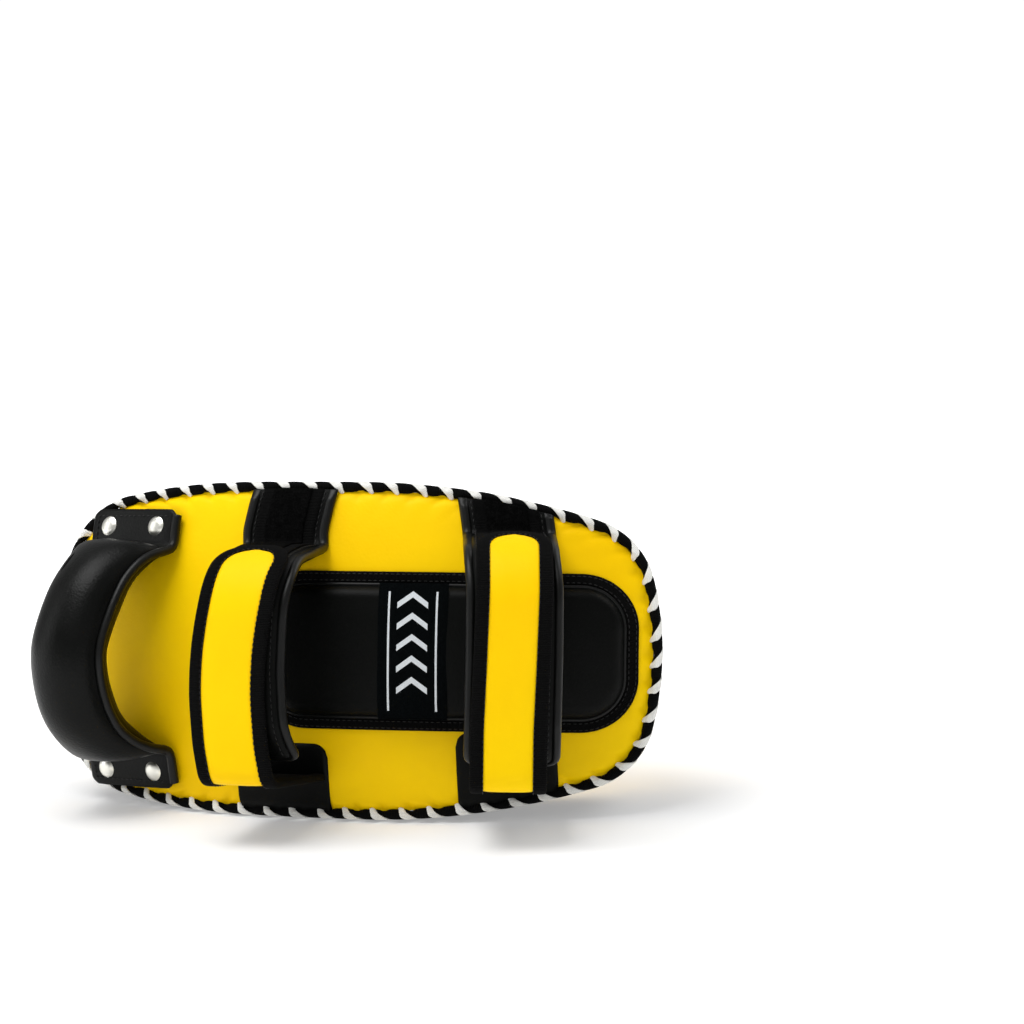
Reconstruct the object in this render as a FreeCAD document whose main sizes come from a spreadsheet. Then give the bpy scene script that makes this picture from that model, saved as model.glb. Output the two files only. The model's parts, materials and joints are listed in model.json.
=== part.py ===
import FreeCAD, Part

import math
import os

# A Thai kick pad lying on its long side, built as the bench would show it: a laced
# leather shell round three foams, a riveted grip, a forearm cushion and two forearm
# loops, each a padded cuff under a hook-and-loop strap.
#
# Pad frame used while building: x along the pad (grip end at -x), z across it, y
# through it (-y is the back that carries the straps, +y is the striking face).
# One placement at the end seats every piece on the ground.

X_AXIS = FreeCAD.Vector(1, 0, 0)
Y_AXIS = FreeCAD.Vector(0, 1, 0)
Z_AXIS = FreeCAD.Vector(0, 0, 1)

# alias, value in millimetres or degrees, what it drives
DIMENSIONS = [
    ("half_length", 196.0, "half of the shell's length at the back rim"),
    ("half_width", 98.0, "half of the shell's width at the back rim"),
    ("shell_depth", 70.0, "back rim to striking face, at mid length"),
    ("flare", 3.5, "angle by which the side wall narrows towards the striking face"),
    ("elbow_flare", 6.0, "further slope of the side wall at the elbow end"),
    ("elbow_flare_from", 20.0, "depth at which that end stands at the half length"),
    ("elbow_end_radius", 180.0, "outline: middle of the elbow end"),
    ("elbow_end_turn", 14.0, "outline: half of that arc"),
    ("elbow_corner_radius", 48.0, "outline: corner at the elbow end"),
    ("elbow_side_turn", 16.0, "outline: long side running into that corner"),
    ("grip_side_radius", 520.0, "outline: long side near the grip"),
    ("grip_side_turn", 9.5, "outline: turn of that side"),
    ("grip_corner_radius", 55.0, "outline: corner at the grip end"),
    ("grip_end_turn", 15.0, "outline: half of the arc at the grip end"),
    ("back_bend_radius", 413.0, "lengthwise bend of the back, at its crown"),
    ("back_crown_radius", 350.0, "crosswise crown of the back"),
    ("back_crown_rise", 14.0, "crown above the rim at mid length"),
    ("face_bend_radius", 480.0, "lengthwise bend of the striking face"),
    ("face_crown_radius", 1200.0, "crosswise crown of the striking face"),
    ("leather", 2.0, "shell leather"),
    ("front_foam_depth", 20.0, "firm impact foam"),
    ("back_foam_depth", 12.0, "soft backing foam"),
    ("welt_reach", 6.0, "rim welt beyond the side wall"),
    ("welt_rise", 4.0, "rim welt above the back cover"),
    ("welt_sink", 6.0, "rim welt below the back cover"),
    ("lace_thickness", 1.2, "flat lace"),
    ("lace_width", 6.5, "flat lace"),
    ("lace_pitch", 17.6, "spacing of the lace wraps along the rim"),
    ("lace_slant", 33.0, "slant of each wrap"),
    ("foot_flat", 0.4, "how far the welt is pressed flat where the pad rests"),
    ("cushion_left", -46.0, "forearm cushion border, grip side"),
    ("cushion_right", 183.0, "forearm cushion border, elbow side"),
    ("cushion_half_width", 47.5, "forearm cushion border"),
    ("cushion_corner", 30.0, "forearm cushion border"),
    ("cushion_border", 7.0, "flat webbing border round the cushion"),
    ("cushion_height", 11.0, "cushion above the cover"),
    ("cushion_skin", 1.5, "cushion leather"),
    ("border_height", 3.0, "webbing border above the cover"),
    ("label_left", 34.5, "blank woven panel across the cushion"),
    ("label_width", 41.0, "blank woven panel"),
    ("label_thickness", 0.8, "blank woven panel"),
    ("label_corner", 2.0, "blank woven panel"),
    ("label_margin", 1.0, "blank woven panel, inside the cushion's edge"),
    ("band_width", 57.0, "strap base band, over its piping"),
    ("band_gap", 5.0, "base band's end above the cuff's root"),
    ("band_thickness", 3.0, "base band"),
    ("band_piping_width", 6.0, "piping along the base band"),
    ("band_piping_height", 6.0, "piping along the base band"),
    ("loop_width", 36.0, "loop pile panel on the base band"),
    ("loop_thickness", 1.5, "loop pile panel"),
    ("patch_width", 61.0, "patch under the strap's foot"),
    ("patch_shift", -1.5, "patch centre, towards the elbow, from the strap's centre"),
    ("patch_corner", 9.0, "patch under the strap's foot"),
    ("hand_patch_top", -56.5, "upper edge of the hand loop's patch"),
    ("elbow_patch_top", -47.5, "upper edge of the elbow loop's patch"),
    ("patch_thickness", 2.5, "patch under the strap's foot"),
    ("cuff_standoff", 62.0, "cuff's middle line above the back's crown"),
    ("cuff_start", 5.5, "cuff's first face above the back's crown"),
    ("cuff_rising", 190.0, "direction in which the cuff leaves its root"),
    ("hand_cuff_root", 60.0, "height of the hand cuff's root"),
    ("elbow_cuff_root", 68.0, "height of the elbow cuff's root"),
    ("cuff_arch_radius", 34.0, "cuff's middle line over the forearm"),
    ("cuff_curl_height", -38.0, "height at which the cuff's straight side ends"),
    ("cuff_curl_radius", 26.0, "cuff's free end, curled in"),
    ("cuff_curl_turn", 65.0, "cuff's free end, curled in"),
    ("cuff_end_turn", 3.0, "part of that turn closed by leather alone"),
    ("cuff_thickness", 10.0, "padded cuff"),
    ("cuff_width", 46.0, "padded cuff between its pipings"),
    ("cuff_skin", 1.2, "cuff leather"),
    ("cuff_piping_width", 5.5, "piping along the cuff"),
    ("cuff_piping_thickness", 6.4, "piping along the cuff"),
    ("strap_clearance", 1.0, "closed strap above its cuff"),
    ("strap_thickness", 4.0, "strap over its binding"),
    ("strap_width", 48.0, "strap over its binding"),
    ("strap_binding_width", 7.5, "ribbed binding along the strap"),
    ("strap_fold_radius", 9.0, "fold at the strap's foot"),
    ("strap_foot_height", -77.0, "height of the fold"),
    ("strap_hinge_lead", 1.0, "straight start of the strap before its fold"),
    ("hand_strap_wrap", 72.0, "how far the hand strap follows its cuff's arch"),
    ("elbow_strap_wrap", 76.0, "how far the elbow strap follows its cuff's arch"),
    ("strap_end_corner", 15.0, "rounded free end of the strap"),
    ("strap_end_reach", 1.0, "rounded end beyond the strap's middle line"),
    ("strap_web_line", 0.3, "where the strap's leather meets its webbing"),
    ("hook_thickness", 0.6, "hook patch under the strap's free end"),
    ("web_gap", 0.6, "anchor web's cut end above its patch"),
    ("hinge_gap", 2.8, "strap's foot to its anchor web"),
    ("hook_length", 30.0, "hook patch under the strap's free end"),
    ("hand_angle", -4.0, "hand loop, round the back's bend"),
    ("elbow_angle", 15.4, "elbow loop, round the back's bend"),
    ("grip_angle", -19.7, "grip, round the back's bend"),
    ("grip_standoff", 57.0, "grip's middle line above the back's crown"),
    ("grip_top", 62.0, "height of the grip's upper end"),
    ("grip_bottom", -67.0, "height of the grip's lower end"),
    ("grip_foot_depth", 1.0, "grip's cut ends below the level of the back's crown"),
    ("grip_bend_radius", 38.0, "grip's two bends"),
    ("grip_radius", 20.0, "grip tube at its middle"),
    ("grip_end_radius", 11.0, "grip tube at its ends"),
    ("grip_skin", 1.6, "grip leather"),
    ("grip_web_width", 16.8, "load web inside the grip"),
    ("grip_web_thickness", 2.5, "load web inside the grip"),
    ("grip_piping_radius", 2.6, "piping along the grip's inner side"),
    ("grip_piping_shift", 1.6, "piping's middle line outside the grip tube"),
    ("plate_width", 68.0, "stitched end plate of the grip"),
    ("plate_height", 25.0, "stitched end plate of the grip"),
    ("plate_top_height", 72.0, "middle of the upper end plate"),
    ("plate_bottom_height", -77.5, "middle of the lower end plate"),
    ("plate_corner", 6.0, "stitched end plate of the grip"),
    ("plate_thickness", 4.0, "stitched end plate of the grip"),
    ("plate_margin", 3.0, "end plates kept inside the shell's rim"),
    ("rivet_spacing", 40.0, "two rivets in each plate"),
    ("rivet_offset", 1.5, "rivets beyond the plate's middle"),
    ("rivet_head_radius", 6.3, "domed rivet head"),
    ("rivet_head_height", 2.6, "domed rivet head"),
    ("rivet_shank_radius", 2.0, "rivet shank"),
    ("washer_radius", 5.5, "washer behind the cover"),
    ("washer_sink", 0.4, "washer below the cover's inner surface"),
    ("washer_thickness", 1.2, "washer behind the cover"),
]

doc = FreeCAD.newDocument("thai_pad")
sheet = doc.addObject("Spreadsheet::Sheet", "dimensions")
for row, (alias, value, note) in enumerate(DIMENSIONS, start=1):
    sheet.set("A%d" % row, alias)
    sheet.set("B%d" % row, str(value))
    sheet.setAlias("B%d" % row, alias)
    sheet.set("C%d" % row, note)
doc.recompute()

# sizes of the cutting tools, in millimetres and degrees: they only have to be large enough
REACH = 130.0
BEND_HALF_TURN = 36.0
FACE_HALF_TURN = 32.0
REGION_HALF_TURN = 60.0
REGION_FRONT = 200.0
FACE_REGION_DEPTH = 150.0
WALL_BACK = -60.0
WALL_FRONT = 150.0
COLUMN_BACK = -120.0
COLUMN_DEPTH = 260.0
SLAB_BACK = -100.0
SLAB_DEPTH = 120.0
BLOCK_LENGTH = 600.0
BLOCK_WIDTH = 500.0
BLOCK_HEIGHT = 200.0
WRAP_TOOL = 30.0
MID_ARC = (0.0, 0.5, 1.0)
BEND_STEPS = (0.0, 30.0, 60.0, 90.0)

nodes = []


def dim(alias):
    return float(sheet.get(alias))


def vec(x, y, z):
    return FreeCAD.Vector(x, y, z)


def shape_object(name, shape):
    item = doc.addObject("Part::Feature", name)
    item.Shape = shape
    return item


def common(name, first, second):
    item = doc.addObject("Part::Common", name)
    item.Base = first
    item.Tool = second
    return item


def cut(name, base, tool):
    item = doc.addObject("Part::Cut", name)
    item.Base = base
    item.Tool = tool
    return item


def group(name, members):
    item = doc.addObject("Part::Compound", name)
    item.Links = members
    return item


def node(item, label):
    item.Label = label
    nodes.append(item)
    return item


# ---------------------------------------------------------------- curves and bands

def outline_wire(offset, y):
    """The pad's outline at depth y, grown by offset: tangent arcs and one straight."""
    half_length = dim("half_length")
    half_width = dim("half_width")
    end_2 = dim("elbow_end_radius")
    end_2_turn = dim("elbow_end_turn")
    corner_2 = dim("elbow_corner_radius")
    side_2_turn = dim("elbow_side_turn")
    side_1 = dim("grip_side_radius")
    side_1_turn = dim("grip_side_turn")
    corner_1 = dim("grip_corner_radius")
    end_1_turn = dim("grip_end_turn")

    def sine(degrees):
        return math.sin(math.radians(degrees))

    def cosine(degrees):
        return math.cos(math.radians(degrees))

    corner_2_turn = 90 - end_2_turn - side_2_turn
    corner_1_turn = 90 - side_1_turn - end_1_turn
    risen = end_2 * sine(end_2_turn) + corner_2 * (cosine(side_2_turn) - sine(end_2_turn))
    side_2 = (half_width - risen) / (1 - cosine(side_2_turn))
    left = half_width - side_1 * (1 - cosine(side_1_turn))
    left -= corner_1 * (cosine(side_1_turn) - cosine(side_1_turn + corner_1_turn))
    end_1 = left / sine(end_1_turn)
    run = side_1 * sine(side_1_turn)
    run += corner_1 * (sine(side_1_turn + corner_1_turn) - sine(side_1_turn))
    run += end_1 * (1 - sine(side_1_turn + corner_1_turn))
    straight_end = run - half_length

    elbow_slope = math.tan(math.radians(dim("elbow_flare")))
    x = half_length - elbow_slope * (y - dim("elbow_flare_from"))
    z = 0.0
    heading = 90.0
    upper = []
    arcs = [(end_2, end_2_turn), (corner_2, corner_2_turn), (side_2, side_2_turn), None,
            (side_1, side_1_turn), (corner_1, corner_1_turn), (end_1, end_1_turn)]
    for arc in arcs:
        if arc is None:
            upper.append([(x, z + offset), (straight_end, z + offset)])
            x = straight_end
            continue
        radius, turn = arc
        centre_x = x - radius * sine(heading)
        centre_z = z + radius * cosine(heading)
        points = []
        for share in MID_ARC:
            angle = heading + share * turn
            points.append((centre_x + (radius + offset) * sine(angle),
                           centre_z - (radius + offset) * cosine(angle)))
        upper.append(points)
        heading += turn
        x = centre_x + radius * sine(heading)
        z = centre_z - radius * cosine(heading)
    lower = [[(px, -pz) for px, pz in reversed(points)] for points in reversed(upper)]
    edges = []
    for points in upper + lower:
        corners = [vec(px, y, pz) for px, pz in points]
        if len(corners) == 2:
            edges.append(Part.makeLine(corners[0], corners[1]))
        else:
            edges.append(Part.Arc(corners[0], corners[1], corners[2]).toShape())
    return Part.Wire(edges)


def outline_points(offset, pitch):
    """Points and directions spaced evenly along the outline at depth 0."""
    wire = outline_wire(offset, 0.0)
    count = int(round(wire.Length / pitch))
    points = wire.discretize(Number=count + 1)[:-1]
    for index, point in enumerate(points):
        following = points[(index + 1) % count]
        before = points[index - 1]
        yield point, (following - before).normalize()


def prism(name, offset):
    """Solid inside the flared side wall, grown by offset."""
    slope = math.tan(math.radians(dim("flare")))
    ends = []
    for tag, y in (("back", WALL_BACK), ("face", WALL_FRONT)):
        ends.append(shape_object(name + "_" + tag, outline_wire(offset - slope * y, y)))
    item = doc.addObject("Part::Loft", name)
    item.Sections = ends
    item.Solid = True
    item.Ruled = True
    return item


def path_band(start, heading, legs, low, high):
    """Face in the y-z plane: a band from low to high beside a path of lines and arcs.

    Headings are degrees from +y towards +z. A leg is (length, 0, 0) or
    (0, radius, turn), turn positive to the left, and the band lies to the left of
    the path where low and high are positive.
    """
    sides = []
    for offset in (low, high):
        y, z, angle = start[0], start[1], heading
        edges = []
        for length, radius, turn in legs:
            rad = math.radians(angle)
            if radius == 0:
                tip_y = y + length * math.cos(rad)
                tip_z = z + length * math.sin(rad)
                side = vec(0, -math.sin(rad) * offset, math.cos(rad) * offset)
                edges.append(Part.makeLine(vec(0, y, z) + side, vec(0, tip_y, tip_z) + side))
                y, z = tip_y, tip_z
                continue
            hand = math.copysign(1.0, turn)
            centre = vec(0, y - hand * radius * math.sin(rad), z + hand * radius * math.cos(rad))
            swept = []
            for share in MID_ARC:
                spoke = math.radians(angle + share * turn)
                out = vec(0, hand * math.sin(spoke), -hand * math.cos(spoke))
                swept.append(centre + out * (radius - hand * offset))
            edges.append(Part.Arc(swept[0], swept[1], swept[2]).toShape())
            angle += turn
            spoke = math.radians(angle)
            y = centre.y + hand * radius * math.sin(spoke)
            z = centre.z - hand * radius * math.cos(spoke)
        sides.append(edges)
    near, far = sides
    first = Part.makeLine(near[0].Vertexes[0].Point, far[0].Vertexes[0].Point)
    last = Part.makeLine(near[-1].Vertexes[-1].Point, far[-1].Vertexes[-1].Point)
    wire = Part.Wire(Part.__sortEdges__(near + [last] + far + [first]))
    return Part.Face(wire)


def extruded(name, profile, width_expression, angle_alias):
    """A y-z profile given a width along x, turned round the back's bend."""
    source = shape_object(name + "_profile", profile)
    item = doc.addObject("Part::Extrusion", name)
    item.Base = source
    item.DirMode = "Custom"
    item.Dir = X_AXIS
    item.Symmetric = True
    item.Solid = True
    item.setExpression("LengthFwd", width_expression)
    return turned(item, angle_alias)


def turned(item, angle_alias):
    """Turn a piece built at mid length to its own place round the back's bend."""
    item.Placement = about_bend(dim(angle_alias)).multiply(item.Placement)
    return item


def about_bend(angle):
    """Placement that turns about the back's bend axis; positive goes towards +x."""
    axis_point = vec(0, back_axis_y(), 0)
    return FreeCAD.Placement(vec(0, 0, 0), FreeCAD.Rotation(Z_AXIS, angle), axis_point)


def about_crown(angle):
    """Placement that turns about the centre of the crosswise crown, towards +z."""
    axis_point = vec(0, dim("back_crown_radius") - dim("back_crown_rise"), 0)
    return FreeCAD.Placement(vec(0, 0, 0), FreeCAD.Rotation(X_AXIS, -angle), axis_point)


def back_axis_y():
    return dim("back_bend_radius") - dim("back_crown_rise")


def revolved(name, profile, axis_y, half_turn):
    source = shape_object(name + "_profile", profile)
    item = doc.addObject("Part::Revolution", name)
    item.Source = source
    item.Axis = Z_AXIS
    item.Base = vec(0, axis_y, 0)
    item.Angle = 2 * half_turn
    item.Symmetric = True
    item.Solid = True
    return item


def crown_point(radius, centre_y, z):
    return vec(0, centre_y - math.sqrt(radius * radius - z * z), z)


def back_layer(name, low, high, half_turn=BEND_HALF_TURN):
    """Curved layer from low to high above the back cover's outer surface."""
    centre_y = dim("back_crown_radius") - dim("back_crown_rise")
    arcs = []
    for rise in (low, high):
        radius = dim("back_crown_radius") + rise
        arcs.append([crown_point(radius, centre_y, z) for z in (-REACH, 0.0, REACH)])
    return revolved(name, arc_pair_face(arcs), back_axis_y(), half_turn)


def back_region(name, top):
    """Everything from top above the back cover through to far in front of the pad."""
    centre_y = dim("back_crown_radius") - dim("back_crown_rise")
    radius = dim("back_crown_radius") + top
    low, middle, high = [crown_point(radius, centre_y, z) for z in (-REACH, 0.0, REACH)]
    corners = [high, vec(0, REGION_FRONT, REACH), vec(0, REGION_FRONT, -REACH), low]
    edges = [Part.Arc(low, middle, high).toShape()]
    for first, second in zip(corners, corners[1:]):
        edges.append(Part.makeLine(first, second))
    return revolved(name, Part.Face(Part.Wire(edges)), back_axis_y(), REGION_HALF_TURN)


def face_arc(inset):
    """Section at mid length of the striking face, moved back by inset."""
    radius = dim("face_crown_radius") - inset
    half_width = dim("half_width")
    rise = dim("face_crown_radius") - math.sqrt(dim("face_crown_radius") ** 2 - half_width ** 2)
    centre_y = dim("shell_depth") + rise - dim("face_crown_radius")
    return [vec(0, centre_y + math.sqrt(radius * radius - z * z), z) for z in (-REACH, 0.0, REACH)]


def face_axis_y():
    return dim("shell_depth") + dim("face_bend_radius")


def face_layer(name, outer, inner):
    """Curved layer between two insets behind the striking face."""
    return revolved(name, arc_pair_face([face_arc(inner), face_arc(outer)]), face_axis_y(), FACE_HALF_TURN)


def face_region(name, inset):
    """Everything in front of the striking face moved back by inset."""
    low, middle, high = face_arc(inset)
    far_y = face_axis_y() - FACE_REGION_DEPTH
    corners = [high, vec(0, far_y, REACH), vec(0, far_y, -REACH), low]
    edges = [Part.Arc(low, middle, high).toShape()]
    for first, second in zip(corners, corners[1:]):
        edges.append(Part.makeLine(first, second))
    return revolved(name, Part.Face(Part.Wire(edges)), face_axis_y(), REGION_HALF_TURN)


def arc_pair_face(arcs):
    first, second = arcs
    edges = [
        Part.Arc(first[0], first[1], first[2]).toShape(),
        Part.makeLine(first[2], second[2]),
        Part.Arc(second[2], second[1], second[0]).toShape(),
        Part.makeLine(second[0], first[0]),
    ]
    return Part.Face(Part.Wire(edges))


def column(name, left, right, low, high, corner):
    """Rounded rectangle in x and z, run right through the back along y."""
    points = [(left, low), (right, low), (right, high), (left, high)]
    edges = []
    for index, (x, z) in enumerate(points):
        next_x, next_z = points[(index + 1) % 4]
        run = math.hypot(next_x - x, next_z - z)
        ux, uz = (next_x - x) / run, (next_z - z) / run
        start = vec(x + ux * corner, COLUMN_BACK, z + uz * corner)
        stop = vec(next_x - ux * corner, COLUMN_BACK, next_z - uz * corner)
        edges.append(Part.makeLine(start, stop))
        after_x, after_z = points[(index + 2) % 4]
        length = math.hypot(after_x - next_x, after_z - next_z)
        vx, vz = (after_x - next_x) / length, (after_z - next_z) / length
        away = corner * (1 - math.sqrt(0.5))
        middle = vec(next_x - ux * away + vx * away, COLUMN_BACK, next_z - uz * away + vz * away)
        landing = vec(next_x + vx * corner, COLUMN_BACK, next_z + vz * corner)
        edges.append(Part.Arc(stop, middle, landing).toShape())
    source = shape_object(name + "_outline", Part.Face(Part.Wire(edges)))
    item = doc.addObject("Part::Extrusion", name)
    item.Base = source
    item.DirMode = "Custom"
    item.Dir = Y_AXIS
    item.Solid = True
    item.LengthFwd = COLUMN_DEPTH
    return item


# ------------------------------------------------------------------ seat on the ground

def ground_line():
    """Two points at mid length, y and z, that touch the ground: welt and face edge."""
    slope = math.tan(math.radians(dim("flare")))
    welt_z = -dim("half_width") - dim("welt_reach")
    centre_y = dim("back_crown_radius") - dim("back_crown_rise")
    welt_y = crown_point(dim("back_crown_radius") - dim("welt_sink"), centre_y, welt_z).y
    welt = (welt_y, welt_z + slope * welt_y + dim("foot_flat"))
    face = (dim("shell_depth"), -dim("half_width") + slope * dim("shell_depth"))
    return welt, face


welt_foot, face_foot = ground_line()
lean = math.degrees(math.atan2(face_foot[1] - welt_foot[1], face_foot[0] - welt_foot[0]))

ground = doc.addObject("Part::Box", "ground")
ground.Length = BLOCK_LENGTH
ground.Width = BLOCK_WIDTH
ground.Height = BLOCK_HEIGHT
ground.Placement = FreeCAD.Placement(
    vec(0, welt_foot[0], welt_foot[1]), FreeCAD.Rotation(X_AXIS, lean)
).multiply(FreeCAD.Placement(vec(-BLOCK_LENGTH / 2, -BLOCK_WIDTH / 2, -BLOCK_HEIGHT),
                             FreeCAD.Rotation()))

# ------------------------------------------------------------------------ shell layers

leather = dim("leather")
front_depth = leather + dim("front_foam_depth")
back_depth = leather + dim("back_foam_depth")

wall_outer = prism("wall_outer", 0.0)
wall_inner = prism("wall_inner", -leather)
welt_outer = prism("welt_outer", dim("welt_reach"))
lace_outer = prism("lace_outer", dim("welt_reach") + dim("lace_thickness"))

front_skin = common("front_skin", wall_outer, face_layer("face_skin", 0.0, leather))
front_foam = common("front_foam", wall_inner, face_layer("face_foam", leather, front_depth))
node(cut("front_skin_seated", front_skin, ground), "front_cover")
node(front_foam, "front_foam")

core_depth = cut("core_depth", back_region("core_back", -back_depth),
                 face_region("core_face", front_depth))
node(common("core", wall_inner, core_depth), "core_foam")

wall_ring = cut("wall_ring", wall_outer, wall_inner)
wall_depth = cut("wall_depth", back_region("wall_back", -leather),
                 face_region("wall_face", leather))
wall_band = common("wall_band", wall_ring, wall_depth)
for label, low in (("gusset_upper", 0.0), ("gusset_lower", -BLOCK_HEIGHT)):
    half = doc.addObject("Part::Box", label + "_half")
    half.Length = BLOCK_LENGTH
    half.Width = BLOCK_WIDTH
    half.Height = BLOCK_HEIGHT
    half.Placement.Base = vec(-BLOCK_LENGTH / 2, SLAB_BACK, low)
    piece = common(label + "_wall", wall_band, half)
    node(cut(label + "_seated", piece, ground), label)

# ------------------------------------------------------------------------------- rivets

def on_back(angle, tilt):
    """Placement that carries a piece built at the crown to a place on the back."""
    return about_bend(angle).multiply(about_crown(tilt))


def disc(name, radius_expression, height_expression, low, angle, tilt):
    """Cylinder standing on the back: low is its foot above the cover's surface."""
    item = doc.addObject("Part::Cylinder", name)
    item.setExpression("Radius", radius_expression)
    item.setExpression("Height", height_expression)
    foot = FreeCAD.Placement(vec(0, -dim("back_crown_rise") - low, 0),
                             FreeCAD.Rotation(X_AXIS, 90))
    item.Placement = on_back(angle, tilt).multiply(foot)
    return item


rivet_places = []
for rivet_z in (dim("plate_top_height") + dim("rivet_offset"),
                dim("plate_bottom_height") - dim("rivet_offset")):
    rivet_tilt = math.degrees(math.asin(rivet_z / dim("back_crown_radius")))
    for side in (-0.5, 0.5):
        along = math.degrees(side * dim("rivet_spacing") / dim("back_bend_radius"))
        rivet_places.append((dim("grip_angle") + along, rivet_tilt))

rivets = []
washers = []
shanks = []
washer_foot = -leather - dim("washer_sink") - dim("washer_thickness")
head_radius = dim("rivet_head_radius")
head_height = dim("rivet_head_height")
dome_radius = (head_radius ** 2 + head_height ** 2) / (2 * head_height)
for index, (angle, tilt) in enumerate(rivet_places):
    shank = disc("shank_%d" % index, "dimensions.rivet_shank_radius",
                 "dimensions.plate_thickness + dimensions.leather + dimensions.washer_sink"
                 " + dimensions.washer_thickness", washer_foot, angle, tilt)
    ball = doc.addObject("Part::Sphere", "ball_%d" % index)
    ball.Radius = dome_radius
    ball_y = -dim("back_crown_rise") - dim("plate_thickness") - head_height + dome_radius
    ball.Placement = on_back(angle, tilt).multiply(
        FreeCAD.Placement(vec(0, ball_y, 0), FreeCAD.Rotation()))
    slab = disc("head_slab_%d" % index, "dimensions.rivet_head_radius + dimensions.rivet_head_height",
                "dimensions.rivet_head_height * 2", dim("plate_thickness"), angle, tilt)
    head = common("head_%d" % index, ball, slab)
    rivet = doc.addObject("Part::Fuse", "rivet_%d" % index)
    rivet.Base = head
    rivet.Tool = shank
    rivets.append(rivet)
    shanks.append(shank)
    plate = disc("washer_plate_%d" % index, "dimensions.washer_radius",
                 "dimensions.washer_thickness", washer_foot, angle, tilt)
    washers.append(cut("washer_%d" % index, plate, shank))
node(group("rivet_group", rivets), "handle_rivets")
node(group("washer_group", washers), "rivet_washers")
shank_group = group("shank_group", shanks)
washer_room = group("washer_room", washers)

back_skin = common("back_skin", wall_outer, back_layer("back_skin_layer", -leather, 0.0))
node(cut("back_skin_holed", back_skin, shank_group), "back_cover")
back_pad = common("back_pad", wall_inner, back_layer("back_pad_layer", -back_depth, -leather))
back_pad_open = cut("back_pad_open", back_pad, washer_room)
node(cut("back_pad_holed", back_pad_open, shank_group), "back_foam")

# ----------------------------------------------------------------------- welt and lacing

welt_ring = cut("welt_ring", welt_outer, wall_outer)
welt_round = common("welt_round", welt_ring,
                    back_layer("welt_layer", -dim("welt_sink"), dim("welt_rise")))
node(cut("welt_seated", welt_round, ground), "rim_welt")

lace_ring = cut("lace_ring", lace_outer, wall_outer)
lace_layer = back_layer("lace_layer", -dim("welt_sink") - dim("lace_thickness"),
                        dim("welt_rise") + dim("lace_thickness"))
lace_round = common("lace_round", lace_ring, lace_layer)
lace_skin = cut("lace_skin", lace_round, welt_round)
wraps = []
wrap_diagonal = vec(0, -1, 1)
for point, along in outline_points(dim("welt_reach"), dim("lace_pitch")):
    outward = vec(along.z, 0, -along.x)
    bend = math.sqrt(back_axis_y() ** 2 - point.x ** 2)
    rim_y = back_axis_y() - bend
    wrap = Part.makeBox(dim("lace_width"), WRAP_TOOL, WRAP_TOOL)
    wrap.translate(vec(-dim("lace_width") / 2, -WRAP_TOOL / 2, -WRAP_TOOL / 2))
    wrap.rotate(vec(0, 0, 0), wrap_diagonal, dim("lace_slant"))
    turn = math.degrees(math.atan2(outward.x, outward.z))
    wrap.rotate(vec(0, 0, 0), Y_AXIS, turn)
    wrap.translate(vec(point.x, rim_y, point.z))
    wraps.append(wrap)
lace_slabs = shape_object("lace_slabs", Part.makeCompound(wraps))
lace_bars = common("lace_bars", lace_skin, lace_slabs)
node(cut("lace_seated", lace_bars, ground), "rim_lacing")

# ------------------------------------------------------------------------ forearm cushion

cushion_edges = (dim("cushion_left"), dim("cushion_right"),
                 -dim("cushion_half_width"), dim("cushion_half_width"))


def cushion_column(name, inset):
    left, right, low, high = cushion_edges
    return column(name, left + inset, right - inset, low + inset, high - inset,
                  dim("cushion_corner") - inset)


border = dim("cushion_border")
skin = dim("cushion_skin")
cushion_outer = cushion_column("cushion_outer", 0.0)
cushion_mid = cushion_column("cushion_mid", border)
cushion_inner = cushion_column("cushion_inner", border + skin)
border_ring = cut("border_ring", cushion_outer, cushion_mid)
node(common("border_band", border_ring, back_layer("border_layer", 0.0, dim("border_height"))),
     "forearm_pad_binding")
pad_height = dim("cushion_height")
pad_block = common("pad_block", cushion_mid, back_layer("pad_layer", 0.0, pad_height))
pad_core = common("pad_core", cushion_inner, back_layer("pad_core_layer", 0.0, pad_height - skin))
node(cut("pad_skin", pad_block, pad_core), "forearm_pad_cover")
node(pad_core, "forearm_pad_foam")
label_edge = border + dim("label_margin")
label_column = column("label_column", dim("label_left"), dim("label_left") + dim("label_width"),
                      -dim("cushion_half_width") + label_edge,
                      dim("cushion_half_width") - label_edge, dim("label_corner"))
node(common("label_band", label_column,
            back_layer("label_layer", pad_height, pad_height + dim("label_thickness"))),
     "label_patch")

# ------------------------------------------------------------------- the two forearm loops

def slab_across(name, left, right, low, high, angle_alias):
    """Box in the loop's own frame, turned to its place: cuts strips out of layers."""
    item = doc.addObject("Part::Box", name)
    item.Length = right - left
    item.Width = SLAB_DEPTH
    item.Height = high - low
    item.Placement = about_bend(dim(angle_alias)).multiply(
        FreeCAD.Placement(vec(left, SLAB_BACK, low), FreeCAD.Rotation()))
    return item


def inside_wall(name, layer, slab):
    strip = common(name + "_strip", layer, slab)
    return common(name, strip, wall_outer)


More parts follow.
